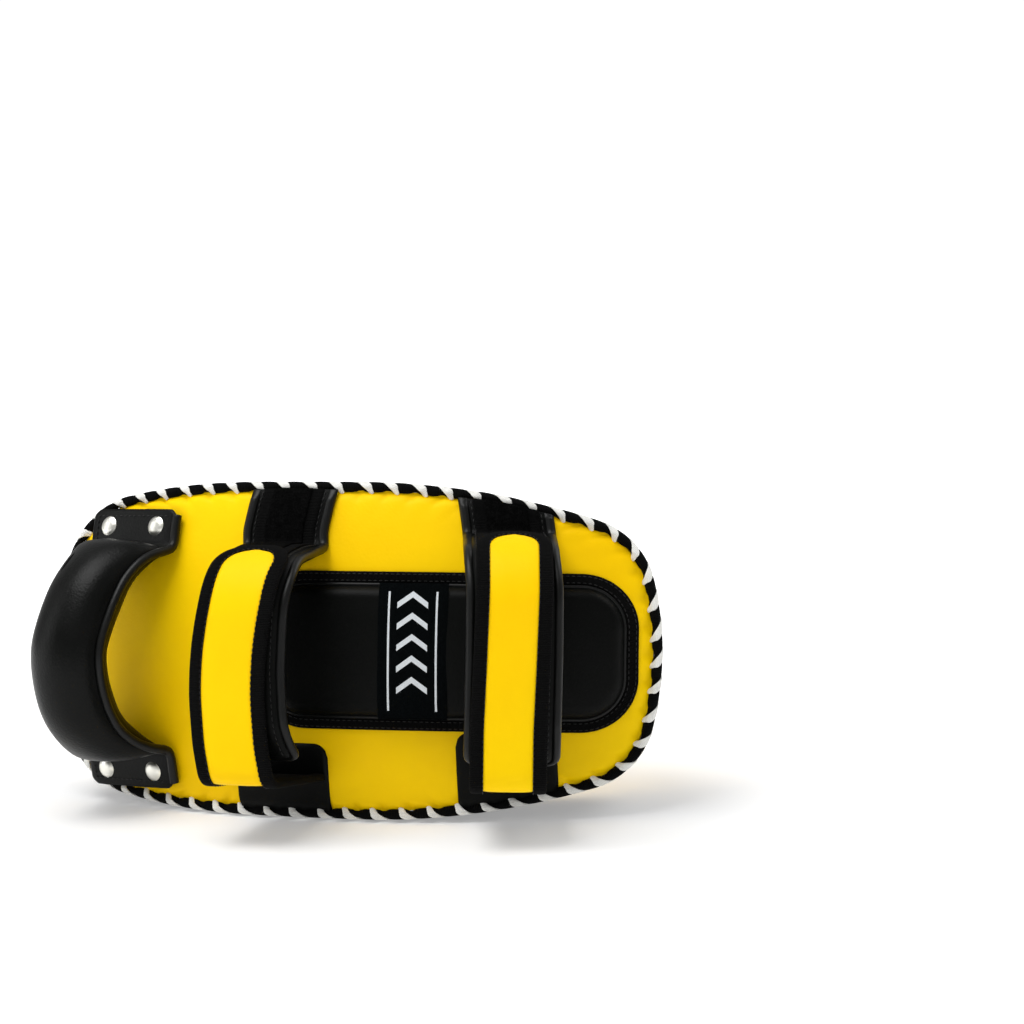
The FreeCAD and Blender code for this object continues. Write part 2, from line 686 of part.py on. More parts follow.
def forearm_loop(side):
    angle = side + "_angle"
    crown = -dim("back_crown_rise")
    half_band = dim("band_width") / 2
    piping = dim("band_piping_width")
    foot = dim(side + "_cuff_root") + dim("band_gap")
    band_top = dim("band_thickness")

    # base band, flat on the cover from the top rim to where the cuff lifts off
    band_slab = slab_across(side + "_band_slab", piping - half_band, half_band - piping,
                            foot, REACH, angle)
    node(inside_wall(side + "_band", back_layer(side + "_band_layer", 0.0, band_top), band_slab),
         side + "_base_band")
    beads = []
    bead_layer = back_layer(side + "_bead_layer", 0.0, dim("band_piping_height"))
    for tag, left in (("a", -half_band), ("b", half_band - piping)):
        bead_slab = slab_across(side + "_bead_slab_" + tag, left, left + piping,
                                foot, REACH, angle)
        beads.append(inside_wall(side + "_bead_" + tag, bead_layer, bead_slab))
    node(group(side + "_beads", beads), side + "_base_piping")
    half_loop = dim("loop_width") / 2
    loop_slab = slab_across(side + "_loop_slab", -half_loop, half_loop, foot, REACH, angle)
    loop_layer = back_layer(side + "_loop_layer", band_top, band_top + dim("loop_thickness"))
    node(inside_wall(side + "_loop", loop_layer, loop_slab), side + "_loop_tape")

    # patch sewn under the strap's foot, and the web that stands out from it
    half_patch = dim("patch_width") / 2
    shift = dim("patch_shift")
    patch_shape = column(side + "_patch_column", shift - half_patch, shift + half_patch,
                         -REACH, dim(side + "_patch_top"), dim("patch_corner"))
    turned(patch_shape, angle)
    patch_layer = back_layer(side + "_patch_layer", 0.0, dim("patch_thickness"))
    node(inside_wall(side + "_patch", patch_layer, patch_shape), side + "_anchor_patch")

    # padded cuff
    start_y = crown - dim("cuff_start")
    root = (start_y, dim(side + "_cuff_root"))
    rising = dim("cuff_rising")
    arch = dim("cuff_arch_radius")
    lead = dim("cuff_standoff") - dim("cuff_start")
    lead -= arch * (1 - math.sin(math.radians(rising - 180.0)))
    lead /= math.cos(math.radians(rising - 180.0))
    arch_z = root[1] + lead * math.sin(math.radians(rising))
    arch_z -= arch * math.cos(math.radians(rising - 180.0))
    cuff_legs = [
        (lead, 0, 0),
        (0, arch, 270.0 - rising),
        (arch_z - dim("cuff_curl_height"), 0, 0),
        (0, dim("cuff_curl_radius"), dim("cuff_curl_turn")),
    ]
    half = dim("cuff_thickness") / 2
    inner = half - dim("cuff_skin")
    whole = extruded(side + "_cuff_whole", path_band(root, rising, cuff_legs, -half, half),
                     "dimensions.cuff_width", angle)
    foam_legs = [(lead - 2 * dim("cuff_skin"), 0, 0)] + cuff_legs[1:3]
    foam_legs.append((0, dim("cuff_curl_radius"), dim("cuff_curl_turn") - dim("cuff_end_turn")))
    foam_root = (root[0] + 2 * dim("cuff_skin") * math.cos(math.radians(rising)),
                 root[1] + 2 * dim("cuff_skin") * math.sin(math.radians(rising)))
    foam = extruded(side + "_cuff_core", path_band(foam_root, rising, foam_legs, -inner, inner),
                    "dimensions.cuff_width - 2 * dimensions.cuff_skin", angle)
    node(cut(side + "_cuff_skin", whole, foam), side + "_cuff_cover")
    node(foam, side + "_cuff_foam")
    half_piping = dim("cuff_piping_thickness") / 2
    piping_body = extruded(side + "_cuff_piping_body",
                           path_band(root, rising, cuff_legs, -half_piping, half_piping),
                           "dimensions.cuff_width + 2 * dimensions.cuff_piping_width", angle)
    piping_gap = extruded(side + "_cuff_piping_gap",
                          path_band(root, rising, cuff_legs, -2 * half, 2 * half),
                          "dimensions.cuff_width", angle)
    node(cut(side + "_cuff_beads", piping_body, piping_gap), side + "_cuff_piping")

    # strap: up the outside of the cuff from its fold, and over the arch
    half_strap = dim("strap_thickness") / 2
    offset = half + dim("strap_clearance") + half_strap
    strap_y = crown - dim("cuff_standoff") - offset
    fold = dim("strap_fold_radius")
    foot_z = dim("strap_foot_height")
    hinge_y = strap_y + fold + dim("strap_hinge_lead")
    wrap_turn = dim(side + "_strap_wrap")
    rise = arch_z - (foot_z + fold)
    strap_legs = [
        (dim("strap_hinge_lead"), 0, 0),
        (0, fold, -90.0),
        (rise, 0, 0),
        (0, arch + offset, -wrap_turn),
    ]
    strap_root = (hinge_y, foot_z)
    web_line = dim("strap_web_line")
    hook_line = dim("hook_thickness") - half_strap

    def strap_layer(tag, low, high, width_expression):
        return extruded(side + "_" + tag, path_band(strap_root, 180.0, strap_legs, low, high),
                        width_expression, angle)

    end_z = arch_z + (arch + offset) * math.sin(math.radians(wrap_turn))
    tip_z = end_z + dim("strap_end_reach")
    half_width = dim("strap_width") / 2
    round_end = column(side + "_round_end", -half_width, half_width, -REACH,
                       tip_z, dim("strap_end_corner"))
    turned(round_end, angle)
    binding = dim("strap_binding_width")
    inner_end = column(side + "_inner_end", binding - half_width, half_width - binding, -REACH,
                       tip_z - binding, dim("strap_end_corner") - binding)
    turned(inner_end, angle)
    strap_whole = strap_layer("strap_whole", -half_strap, half_strap, "dimensions.strap_width")
    strap_round = common(side + "_strap_round", strap_whole, round_end)
    node(cut(side + "_strap_edges", strap_round, inner_end), side + "_strap_binding")
    wide = "dimensions.strap_width"
    face = strap_layer("strap_face_band", web_line, half_strap, wide)
    node(common(side + "_strap_face_cut", face, inner_end), side + "_strap_face")
    web = strap_layer("strap_web_band", hook_line, web_line, wide)
    node(common(side + "_strap_web_cut", web, inner_end), side + "_strap_webbing")
    hook_band = strap_layer("hook_band", -half_strap, hook_line, wide)
    hook_column = column(side + "_hook_column", binding - half_width, half_width - binding,
                         end_z - dim("hook_length"), tip_z - binding,
                         dim("strap_end_corner") - binding)
    turned(hook_column, angle)
    node(common(side + "_hook_cut", hook_band, hook_column), side + "_hook_patch")

    # anchor web: from the patch out to the fold
    web_start = crown_point(dim("back_crown_radius") + dim("patch_thickness"),
                            dim("back_crown_radius") - dim("back_crown_rise"), foot_z).y - dim("web_gap")
    web_run = web_start - hinge_y - dim("hinge_gap")
    anchor = path_band((web_start, foot_z), 180.0, [(web_run, 0, 0)], -half_strap, half_strap)
    node(extruded(side + "_anchor", anchor, "dimensions.strap_width", angle),
         side + "_anchor_web")
    return (hinge_y, foot_z), root


hinges = {}
for loop_side in ("hand", "elbow"):
    hinges[loop_side] = forearm_loop(loop_side)

# --------------------------------------------------------------------------------- grip

def grip_path():
    """Middle line of the grip in its own y-z plane: stations with a direction."""
    crown = -dim("back_crown_rise")
    bend = dim("grip_bend_radius")
    out_y = crown - dim("grip_standoff")
    corner_y = out_y + bend
    stations = [(crown + dim("grip_foot_depth"), dim("grip_top"), 180.0, 0.0)]
    for turn in BEND_STEPS:
        rad = math.radians(turn)
        stations.append((corner_y - bend * math.sin(rad),
                         dim("grip_top") - bend + bend * math.cos(rad), 180.0 + turn, turn / 90))
    stations.append((out_y, (dim("grip_top") + dim("grip_bottom")) / 2, 270.0, 1.0))
    for turn in BEND_STEPS:
        rad = math.radians(turn)
        stations.append((corner_y - bend * math.cos(rad),
                         dim("grip_bottom") + bend - bend * math.sin(rad), 270.0 + turn,
                         1 - turn / 90))
    stations.append((crown + dim("grip_foot_depth"), dim("grip_bottom"), 360.0, 0.0))
    return stations


def grip_loft(name, inset):
    rings = []
    for index, (y, z, heading, fullness) in enumerate(grip_path()):
        ring = doc.addObject("Part::Circle", "%s_ring_%d" % (name, index))
        ring.setExpression("Radius", "dimensions.grip_end_radius + %.4f * (dimensions.grip_radius "
                                     "- dimensions.grip_end_radius) - %.2f" % (fullness, inset))
        tangent = vec(0, math.cos(math.radians(heading)), math.sin(math.radians(heading)))
        ring.Placement = FreeCAD.Placement(vec(0, y, z), FreeCAD.Rotation(Z_AXIS, tangent))
        rings.append(ring)
    item = doc.addObject("Part::Loft", name)
    item.Sections = rings
    item.Solid = True
    item.Ruled = False
    return turned(item, "grip_angle")


def grip_legs():
    bend = dim("grip_bend_radius")
    lead = dim("grip_standoff") + dim("grip_foot_depth") - bend
    side = dim("grip_top") - dim("grip_bottom") - 2 * bend
    return [(lead, 0, 0), (0, bend, 90.0), (side, 0, 0), (0, bend, 90.0), (lead, 0, 0)]


grip_start = (-dim("back_crown_rise") + dim("grip_foot_depth"), dim("grip_top"))
half_web = dim("grip_web_thickness") / 2
grip_outer = grip_loft("grip_outer", 0.0)
grip_inner = grip_loft("grip_inner", dim("grip_skin"))
grip_web = extruded("grip_web", path_band(grip_start, 180.0, grip_legs(), -half_web, half_web),
                    "dimensions.grip_web_width", "grip_angle")
node(cut("grip_skin_shell", grip_outer, grip_inner), "handle_cover")
node(cut("grip_core", grip_inner, grip_web), "handle_core")
node(common("grip_web_held", grip_web, grip_inner), "handle_webbing")

piping_x = dim("grip_radius") + dim("grip_piping_shift")
bend_radius = dim("grip_bend_radius")
pipe_out = -dim("back_crown_rise") - dim("grip_standoff")
pipe_corner = pipe_out + bend_radius
top = dim("grip_top")
bottom = dim("grip_bottom")
half_root = math.sqrt(0.5)
grip_foot = grip_start[0]
piping_edges = [
    Part.makeLine(vec(piping_x, grip_foot, top), vec(piping_x, pipe_corner, top)),
    Part.Arc(vec(piping_x, pipe_corner, top),
             vec(piping_x, pipe_corner - bend_radius * half_root,
                 top - bend_radius * (1 - half_root)),
             vec(piping_x, pipe_out, top - bend_radius)).toShape(),
    Part.makeLine(vec(piping_x, pipe_out, top - bend_radius),
                  vec(piping_x, pipe_out, bottom + bend_radius)),
    Part.Arc(vec(piping_x, pipe_out, bottom + bend_radius),
             vec(piping_x, pipe_corner - bend_radius * half_root,
                 bottom + bend_radius * (1 - half_root)),
             vec(piping_x, pipe_corner, bottom)).toShape(),
    Part.makeLine(vec(piping_x, pipe_corner, bottom), vec(piping_x, grip_foot, bottom)),
]
piping_spine = shape_object("grip_piping_spine", Part.Wire(piping_edges))
piping_section = doc.addObject("Part::Circle", "grip_piping_section")
piping_section.setExpression("Radius", "dimensions.grip_piping_radius")
piping_section.Placement = FreeCAD.Placement(vec(piping_x, grip_foot, top),
                                             FreeCAD.Rotation(Z_AXIS, vec(0, -1, 0)))
piping_sweep = doc.addObject("Part::Sweep", "grip_piping_sweep")
piping_sweep.Sections = [piping_section]
piping_sweep.Spine = (piping_spine, [])
piping_sweep.Solid = True
piping_sweep.Frenet = False
turned(piping_sweep, "grip_angle")
node(cut("grip_piping", piping_sweep, grip_outer), "handle_piping")

plates = []
plate_limit = prism("plate_limit", -dim("plate_margin"))
plate_layer = back_layer("plate_layer", 0.0, dim("plate_thickness"))
for tag in ("top", "bottom"):
    height = dim("plate_%s_height" % tag)
    half_plate = dim("plate_width") / 2
    tall = dim("plate_height") / 2
    plate_column = column("plate_column_" + tag, -half_plate, half_plate,
                          height - tall, height + tall, dim("plate_corner"))
    turned(plate_column, "grip_angle")
    plate_sheet = common("plate_sheet_" + tag, plate_layer, plate_column)
    plate_trim = common("plate_trim_" + tag, plate_sheet, plate_limit)
    plates.append(cut("plate_" + tag, plate_trim, shank_group))
node(group("plates", plates), "handle_end_plates")

# ------------------------------------------------------------- seat, check and write out

doc.recompute()
box = FreeCAD.BoundBox()
seat_turn = FreeCAD.Placement(vec(0, 0, 0), FreeCAD.Rotation(X_AXIS, -lean))
for item in nodes:
    shape = item.Shape.copy()
    shape.Placement = seat_turn.multiply(shape.Placement)
    box.add(shape.optimalBoundingBox(False, False))
seat = FreeCAD.Placement(vec(-box.Center.x, -box.Center.y, -box.ZMin), FreeCAD.Rotation())
seat = seat.multiply(seat_turn)
for item in nodes:
    item.Placement = seat.multiply(item.Placement)

problems = []
for item in doc.Objects:
    if "Invalid" in item.State or "Error" in item.State:
        problems.append("%s is %s" % (item.Name, item.State))
for item in nodes:
    if item.Shape.isNull() or not item.Shape.isValid() or not item.Shape.Solids:
        problems.append("%s has no valid solid" % item.Label)
if problems:
    raise RuntimeError("; ".join(problems))

os.makedirs("parts", exist_ok=True)
for item in nodes:
    item.Shape.exportStep("parts/%s.step" % item.Label)
    print("%-22s %2d solids %12.1f mm3" % (item.Label, len(item.Shape.Solids), item.Shape.Volume))
print("seat: lean %.3f shift %s" % (lean, seat.Base))
for side, (strap_hinge, cuff_hinge) in hinges.items():
    for what, (hy, hz) in (("strap", strap_hinge), ("cuff", cuff_hinge)):
        spot = seat.multVec(about_bend(dim(side + "_angle")).multVec(vec(0, hy, hz)))
        direction = seat.Rotation.multVec(about_bend(dim(side + "_angle")).Rotation.multVec(X_AXIS))
        print("%s %s hinge at %s along %s" % (side, what, spot, direction))
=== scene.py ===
"""Looks of a Thai kick pad lying on its long side.

Everything is made in the pad's own frame (x along the pad, y through it from the strapped
back to the striking face, z across it, metres) and then seated like the CAD model: turned
about X by the lean and moved by the seat's shift, both worked out from the record's joints.
"""
import json
import math
import random

import bmesh
import bpy
import numpy as np
from mathutils import Matrix, Vector


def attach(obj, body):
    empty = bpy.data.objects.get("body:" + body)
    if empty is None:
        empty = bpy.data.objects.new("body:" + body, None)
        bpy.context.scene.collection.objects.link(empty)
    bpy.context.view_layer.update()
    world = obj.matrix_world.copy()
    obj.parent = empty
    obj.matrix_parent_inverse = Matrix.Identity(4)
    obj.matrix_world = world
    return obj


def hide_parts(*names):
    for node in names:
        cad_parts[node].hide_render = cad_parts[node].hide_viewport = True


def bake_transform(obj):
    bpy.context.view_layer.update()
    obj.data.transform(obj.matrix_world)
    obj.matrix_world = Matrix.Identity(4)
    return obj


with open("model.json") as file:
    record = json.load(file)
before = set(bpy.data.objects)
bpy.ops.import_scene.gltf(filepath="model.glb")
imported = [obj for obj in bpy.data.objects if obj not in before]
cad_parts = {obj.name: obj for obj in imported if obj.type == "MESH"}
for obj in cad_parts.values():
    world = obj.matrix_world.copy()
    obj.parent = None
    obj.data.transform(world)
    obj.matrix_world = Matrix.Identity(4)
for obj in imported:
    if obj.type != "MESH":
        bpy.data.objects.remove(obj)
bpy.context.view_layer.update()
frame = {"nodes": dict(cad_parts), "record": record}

MM = 0.001
random.seed(7)
rng = np.random.default_rng(7)

# ------------------------------------------------------------------ driving sizes, metres
HALF_LENGTH = 196.0 * MM
HALF_WIDTH = 98.0 * MM
SHELL_DEPTH = 70.0 * MM
FLARE = math.radians(3.5)
ELBOW_SLOPE = math.tan(math.radians(6.0))   # further slope of the side wall at the elbow end
ELBOW_SLOPE_FROM = 20.0 * MM
BACK_BEND = 413.0 * MM        # lengthwise bend of the back at its crown
BACK_CROWN = 350.0 * MM       # crosswise crown of the back
CROWN_RISE = 14.0 * MM
BACK_AXIS = BACK_BEND - CROWN_RISE
FACE_BEND = 480.0 * MM
FACE_CROWN = 1200.0 * MM
WELT_REACH = 6.0 * MM
LACE_PITCH = 17.6 * MM
HAND_ANGLE = math.radians(-4.0)
ELBOW_ANGLE = math.radians(15.4)
GRIP_ANGLE = math.radians(-19.7)

CUFF_STANDOFF = 62.0 * MM
CUFF_START = 5.5 * MM
CUFF_RISING = 190.0
ARCH_RADIUS = 34.0 * MM
CUFF_CURL_Z = -38.0 * MM
CURL_RADIUS = 26.0 * MM
CURL_TURN = 65.0
STRAP_OFFSET = 8.0 * MM       # strap's middle line outside the cuff's
STRAP_FOLD = 9.0 * MM
STRAP_FOOT_Z = -77.0 * MM

# per loop: turn round the back's bend, cuff's root height, strap's wrap over the cuff, half the
# strap's width, patch's upper edge, and how far cuff and strap wander along x, as pairs of
# height and shift in millimetres
LOOPS = {
    "hand": {
        "angle": HAND_ANGLE, "root": 60.0 * MM, "wrap": 73.0,
        "half_strap": 23.8 * MM, "patch_top": -56.5 * MM,
        "cuff_sway": ((-60, 7.5), (-38, 3.5), (-10, 1.6), (20, 2.6), (45, 4.5), (58, 2.0),
                      (70, -1.5), (98, 2.5)),
        "strap_sway": ((-78, 3.0), (-71, 2.8), (-56, -0.6), (-42, -2.0), (-27, -3.4), (-12, -3.4),
                       (2, -2.6), (17, -0.6), (28, 1.5), (48, 3.2), (62, 6.0)),
    },
    "elbow": {
        "angle": ELBOW_ANGLE, "root": 68.0 * MM, "wrap": 82.0,
        "half_strap": 22.2 * MM, "patch_top": -47.5 * MM,
        "cuff_sway": ((-60, 3.5), (0, 4.4), (40, 4.2), (60, 2.0), (72, 0.5), (98, -3.6)),
        "strap_sway": ((-78, 1.5), (-43, 1.5), (-2, 3.0), (39, 4.2), (66, 3.6), (76, 3.6)),
    },
}

# ------------------------------------------------------------------------------ the seat
JOINTS = {joint["name"]: joint for joint in frame["record"]["behaviour"]["joints"]}


def bend_matrix(angle):
    """Turn about the back's bend axis; positive goes towards +x."""
    around = Vector((0, BACK_AXIS, 0))
    return Matrix.Translation(around) @ Matrix.Rotation(angle, 4, "Z") @ Matrix.Translation(-around)


def seat_matrix():
    """Pad frame to row frame, from the hand strap's hinge: its axis gives the lean."""
    hinge = JOINTS["hand_strap_open"]
    axis = Vector(hinge["axis"])
    lean = math.atan2(axis.z, -axis.y)
    local = Vector((0, -CROWN_RISE - CUFF_STANDOFF - STRAP_OFFSET + STRAP_FOLD + MM, STRAP_FOOT_Z))
    turn = Matrix.Rotation(-lean, 4, "X")
    shift = Vector(hinge["pos_m"]) - turn @ (bend_matrix(HAND_ANGLE) @ local)
    return Matrix.Translation(shift) @ turn


SEAT = seat_matrix()


def moved(points, matrix):
    """A numpy array of points (..., 3) taken through a 4x4 matrix."""
    m = np.array(matrix)
    return points @ m[:3, :3].T + m[:3, 3]


def seated(points, floor=0.0002):
    """Pad frame to row frame; nothing goes through the ground."""
    placed = moved(points, SEAT)
    placed[..., 2] = np.maximum(placed[..., 2], floor)
    return placed


# ------------------------------------------------------------------------ curved surfaces
def smooth_step(t):
    t = np.clip(t, 0.0, 1.0)
    return t * t * (3 - 2 * t)


def unit(v):
    return v / np.linalg.norm(v, axis=-1, keepdims=True)


def ring(rows):
    """Rows of a closed run, with the first one again at the end."""
    return np.concatenate([rows, rows[:1]])


def path_length(points):
    """Length run so far at each point of a path."""
    return np.concatenate([[0], np.cumsum(np.linalg.norm(np.diff(points, axis=0), axis=1))])


def sampled(wanted, known, table):
    """Every column of a table read off at the wanted places."""
    return np.stack([np.interp(wanted, known, column) for column in table.T], -1)


def back_point(x, z, rise):
    """Points on the back cover's surface at x and z, lifted by rise."""
    x, z, rise = np.broadcast_arrays(np.asarray(x, float), np.asarray(z, float), rise)
    tilt = np.arcsin(z / BACK_CROWN)
    radius = BACK_CROWN + rise
    y = BACK_CROWN - CROWN_RISE - radius * np.cos(tilt)
    spoke = BACK_AXIS - y
    surface_spoke = BACK_AXIS - (BACK_CROWN - CROWN_RISE - BACK_CROWN * np.cos(tilt))
    turn = np.arcsin(x / surface_spoke)
    return np.stack([spoke * np.sin(turn), BACK_AXIS - spoke * np.cos(turn),
                     radius * np.sin(tilt)], -1)


def face_depth(x, z):
    """Depth of the striking face at x and z."""
    sag = FACE_CROWN - math.sqrt(FACE_CROWN ** 2 - HALF_WIDTH ** 2)
    section = SHELL_DEPTH + sag - FACE_CROWN + np.sqrt(FACE_CROWN ** 2 - z * z)
    axis = SHELL_DEPTH + FACE_BEND
    return axis - np.sqrt((axis - section) ** 2 - x * x)


def outline(count):
    """Even points round the pad's outline in x and z, their outward normals and weights.

    A weight says how far a point follows the elbow end's sloping wall: wholly round that end,
    less and less along the straight, not at all round the grip end.
    """
    end_2, end_2_turn, corner_2, side_2_turn = 180.0, 14.0, 48.0, 16.0
    side_1, side_1_turn, corner_1, end_1_turn = 520.0, 9.5, 55.0, 15.0
    half_length, half_width = HALF_LENGTH / MM, HALF_WIDTH / MM

    def sine(degrees):
        return math.sin(math.radians(degrees))

    def cosine(degrees):
        return math.cos(math.radians(degrees))

    turn_2 = 90 - end_2_turn - side_2_turn
    turn_1 = 90 - side_1_turn - end_1_turn
    risen = end_2 * sine(end_2_turn) + corner_2 * (cosine(side_2_turn) - sine(end_2_turn))
    side_2 = (half_width - risen) / (1 - cosine(side_2_turn))
    left = half_width - side_1 * (1 - cosine(side_1_turn))
    left -= corner_1 * (cosine(side_1_turn) - cosine(side_1_turn + turn_1))
    end_1 = left / sine(end_1_turn)
    run = side_1 * sine(side_1_turn)
    run += corner_1 * (sine(side_1_turn + turn_1) - sine(side_1_turn))
    run += end_1 * (1 - sine(side_1_turn + turn_1))
    straight_end = run - half_length
    x, z, heading = half_length, 0.0, 90.0
    points, normals, weights = [], [], []
    step = 0.25
    for radius, turn in ((end_2, end_2_turn), (corner_2, turn_2), (side_2, side_2_turn), (0, 0),
                         (side_1, side_1_turn), (corner_1, turn_1), (end_1, end_1_turn)):
        if radius == 0:
            steps = int((x - straight_end) / step)
            for index in range(steps):
                points.append((x + (straight_end - x) * index / steps, z))
                normals.append((0.0, 1.0))
                weights.append(1 - index / steps)
            x = straight_end
            continue
        centre_x, centre_z = x - radius * sine(heading), z + radius * cosine(heading)
        steps = int(math.radians(turn) * radius / step)
        for index in range(steps):
            angle = heading + turn * index / steps
            points.append((centre_x + radius * sine(angle), centre_z - radius * cosine(angle)))
            normals.append((sine(angle), -cosine(angle)))
            weights.append(1.0 if heading < 180 else 0.0)
        heading += turn
        x, z = centre_x + radius * sine(heading), centre_z - radius * cosine(heading)
    upper = np.array(points)
    upper_n = np.array(normals)
    mirror = np.array([1.0, -1.0])
    all_points = np.vstack([upper, [[x, z]], upper[:0:-1] * mirror])
    all_normals = np.vstack([upper_n, [[-1.0, 0.0]], upper_n[:0:-1] * mirror])
    closed = ring(all_points)
    length = path_length(closed)
    wanted = np.arange(count) / count * length[-1]
    spots = sampled(wanted, length, closed)
    facing = unit(sampled(wanted, length, ring(all_normals)))
    upper_w = np.array(weights)
    closed_w = np.concatenate([upper_w, [0.0], upper_w[:0:-1], upper_w[:1]])
    return spots * MM, facing, length[-1] * MM, np.interp(wanted, length, closed_w)


# ------------------------------------------------------------------------ mesh building
def mesh_object(name, points, faces, uvs=None):
    mesh = bpy.data.meshes.new(name)
    mesh.from_pydata([tuple(p) for p in points], [], faces)
    mesh.update()
    if uvs is not None:
        layer = mesh.uv_layers.new(name="weave")
        corner_vertex = np.empty(len(mesh.loops), dtype=np.int32)
        mesh.loops.foreach_get("vertex_index", corner_vertex)
        layer.data.foreach_set("uv", np.asarray(uvs, np.float32)[corner_vertex].ravel())
    mesh.polygons.foreach_set("use_smooth", [True] * len(mesh.polygons))
    item = bpy.data.objects.new(name, mesh)
    bpy.context.scene.collection.objects.link(item)
    return item


def grid_faces(rows, columns, wrap_rows=False, wrap_columns=False, first=0, flip=False):
    faces = []
    for r in range(rows if wrap_rows else rows - 1):
        for c in range(columns if wrap_columns else columns - 1):
            r2, c2 = (r + 1) % rows, (c + 1) % columns
            quad = [r * columns + c, r * columns + c2, r2 * columns + c2, r2 * columns + c]
            if flip:
                quad.reverse()
            faces.append([first + v for v in quad])
    return faces


def grid_object(name, grid, uv=None, wrap_rows=False, wrap_columns=False, caps=False, flip=False):
    """A surface through a (rows, columns, 3) grid of points already in the row frame."""
    rows, columns = grid.shape[:2]
    faces = grid_faces(rows, columns, wrap_rows, wrap_columns, flip=flip)
    if caps:
        start = list(range(columns))
        end = [(rows - 1) * columns + c for c in range(columns)]
        faces.append(start if flip else start[::-1])
        faces.append(end[::-1] if flip else end)
    uvs = None if uv is None else uv.reshape(-1, 2)
    return mesh_object(name, grid.reshape(-1, 3), faces, uvs)


def disc_faces(rings, columns, flip=False):
    """Faces of rings about a middle vertex, which comes first."""
    faces = []
    for c in range(columns):
        spoke = [0, 1 + (c + 1) % columns, 1 + c]
        faces.append(spoke[::-1] if flip else spoke)
    faces += grid_faces(rings, columns, wrap_columns=True, first=1, flip=flip)
    return faces


def joined(name, items):
    """Several mesh objects made one."""
    points, faces, uvs, base = [], [], [], 0
    for item in items:
        data = item.data
        points += [tuple(v.co) for v in data.vertices]
        layer = data.uv_layers.get("weave")
        flat = np.zeros((len(data.vertices), 2))
        if layer:
            for loop in data.loops:
                flat[loop.vertex_index] = layer.data[loop.index].uv
        uvs += [tuple(p) for p in flat]
        faces += [[base + v for v in poly.vertices] for poly in data.polygons]
        base += len(data.vertices)
        bpy.data.objects.remove(item)
        bpy.data.meshes.remove(data)
    return mesh_object(name, points, faces, uvs)


def outward(item):
    """Makes every face look out of its closed shell."""
    work = bmesh.new()
    work.from_mesh(item.data)
    bmesh.ops.recalc_face_normals(work, faces=work.faces)
    work.to_mesh(item.data)
    work.free()
    return item


def uv_grid(along, across):
    """Places on a band, one row per step along it."""
    return np.stack(np.broadcast_arrays(np.asarray(along)[:, None], across[None, :]), -1)


def tube(path, side, out, radius_side, radius_out, around=12):
    """Grid of a swept oval: path, side and out are (n, 3); radii are numbers or (n,)."""
    count = len(path)
    radius_side = np.broadcast_to(radius_side, count)
    radius_out = np.broadcast_to(radius_out, count)
    angles = np.arange(around) / around * 2 * math.pi
    grid = (path[:, None, :]
            + side[:, None, :] * (radius_side[:, None] * np.cos(angles))[..., None]
            + out[:, None, :] * (radius_out[:, None] * np.sin(angles))[..., None])
    girth = 2 * math.pi * float(np.mean((radius_side + radius_out) / 2))
    return grid, uv_grid(path_length(path), np.abs(np.linspace(-1, 1, around)) * girth / 2)


def directions(path, closed=False):
    """Unit tangents of a path."""
    if closed:
        run = np.roll(path, -1, 0) - np.roll(path, 1, 0)
    else:
        run = np.gradient(path, axis=0)
    return run / np.linalg.norm(run, axis=-1, keepdims=True)


def stitch_run(name, path, out, pitch, length, radius):
    """Short threads lying along a path, each a small spindle that dips at its ends."""
    steps = path_length(path)
    total = steps[-1]
    count = max(1, int(total / pitch))
    rings, around = 5, 6
    points, faces = [], []
    for index in range(count):
        middle = (index + 0.5) * total / count
        base = len(points)
        spots = np.clip(middle + np.linspace(-0.5, 0.5, rings) * length, 0, total)
        centre = sampled(spots, steps, path)
        normal = unit(sampled(spots, steps, out))
        tangent = directions(centre)
        cross = unit(np.cross(tangent, normal))
        swell = np.array([0.25, 0.9, 1.0, 0.9, 0.25]) * radius
        dip = np.array([-1.0, 0.2, 0.5, 0.2, -1.0]) * radius
        for ring in range(rings):
            for k in range(around):
                angle = 2 * math.pi * k / around
                points.append(centre[ring] + normal[ring] * (dip[ring] + swell[ring] * math.sin(angle))
                              + cross[ring] * swell[ring] * math.cos(angle))
        faces += grid_faces(rings, around, wrap_columns=True, first=base)
        faces.append([base + k for k in range(around)][::-1])
        faces.append([base + (rings - 1) * around + k for k in range(around)])
    return mesh_object(name, points, faces, [(0, 0)] * len(points))


# --------------------------------------------------------------------------- materials
def linear(red, green, blue):
    """Screen colour, 0 to 255, to scene colour."""
    values = []
    for value in (red, green, blue):
        value /= 255.0
        values.append(value / 12.92 if value <= 0.04045 else ((value + 0.055) / 1.055) ** 2.4)
    return tuple(values) + (1.0,)


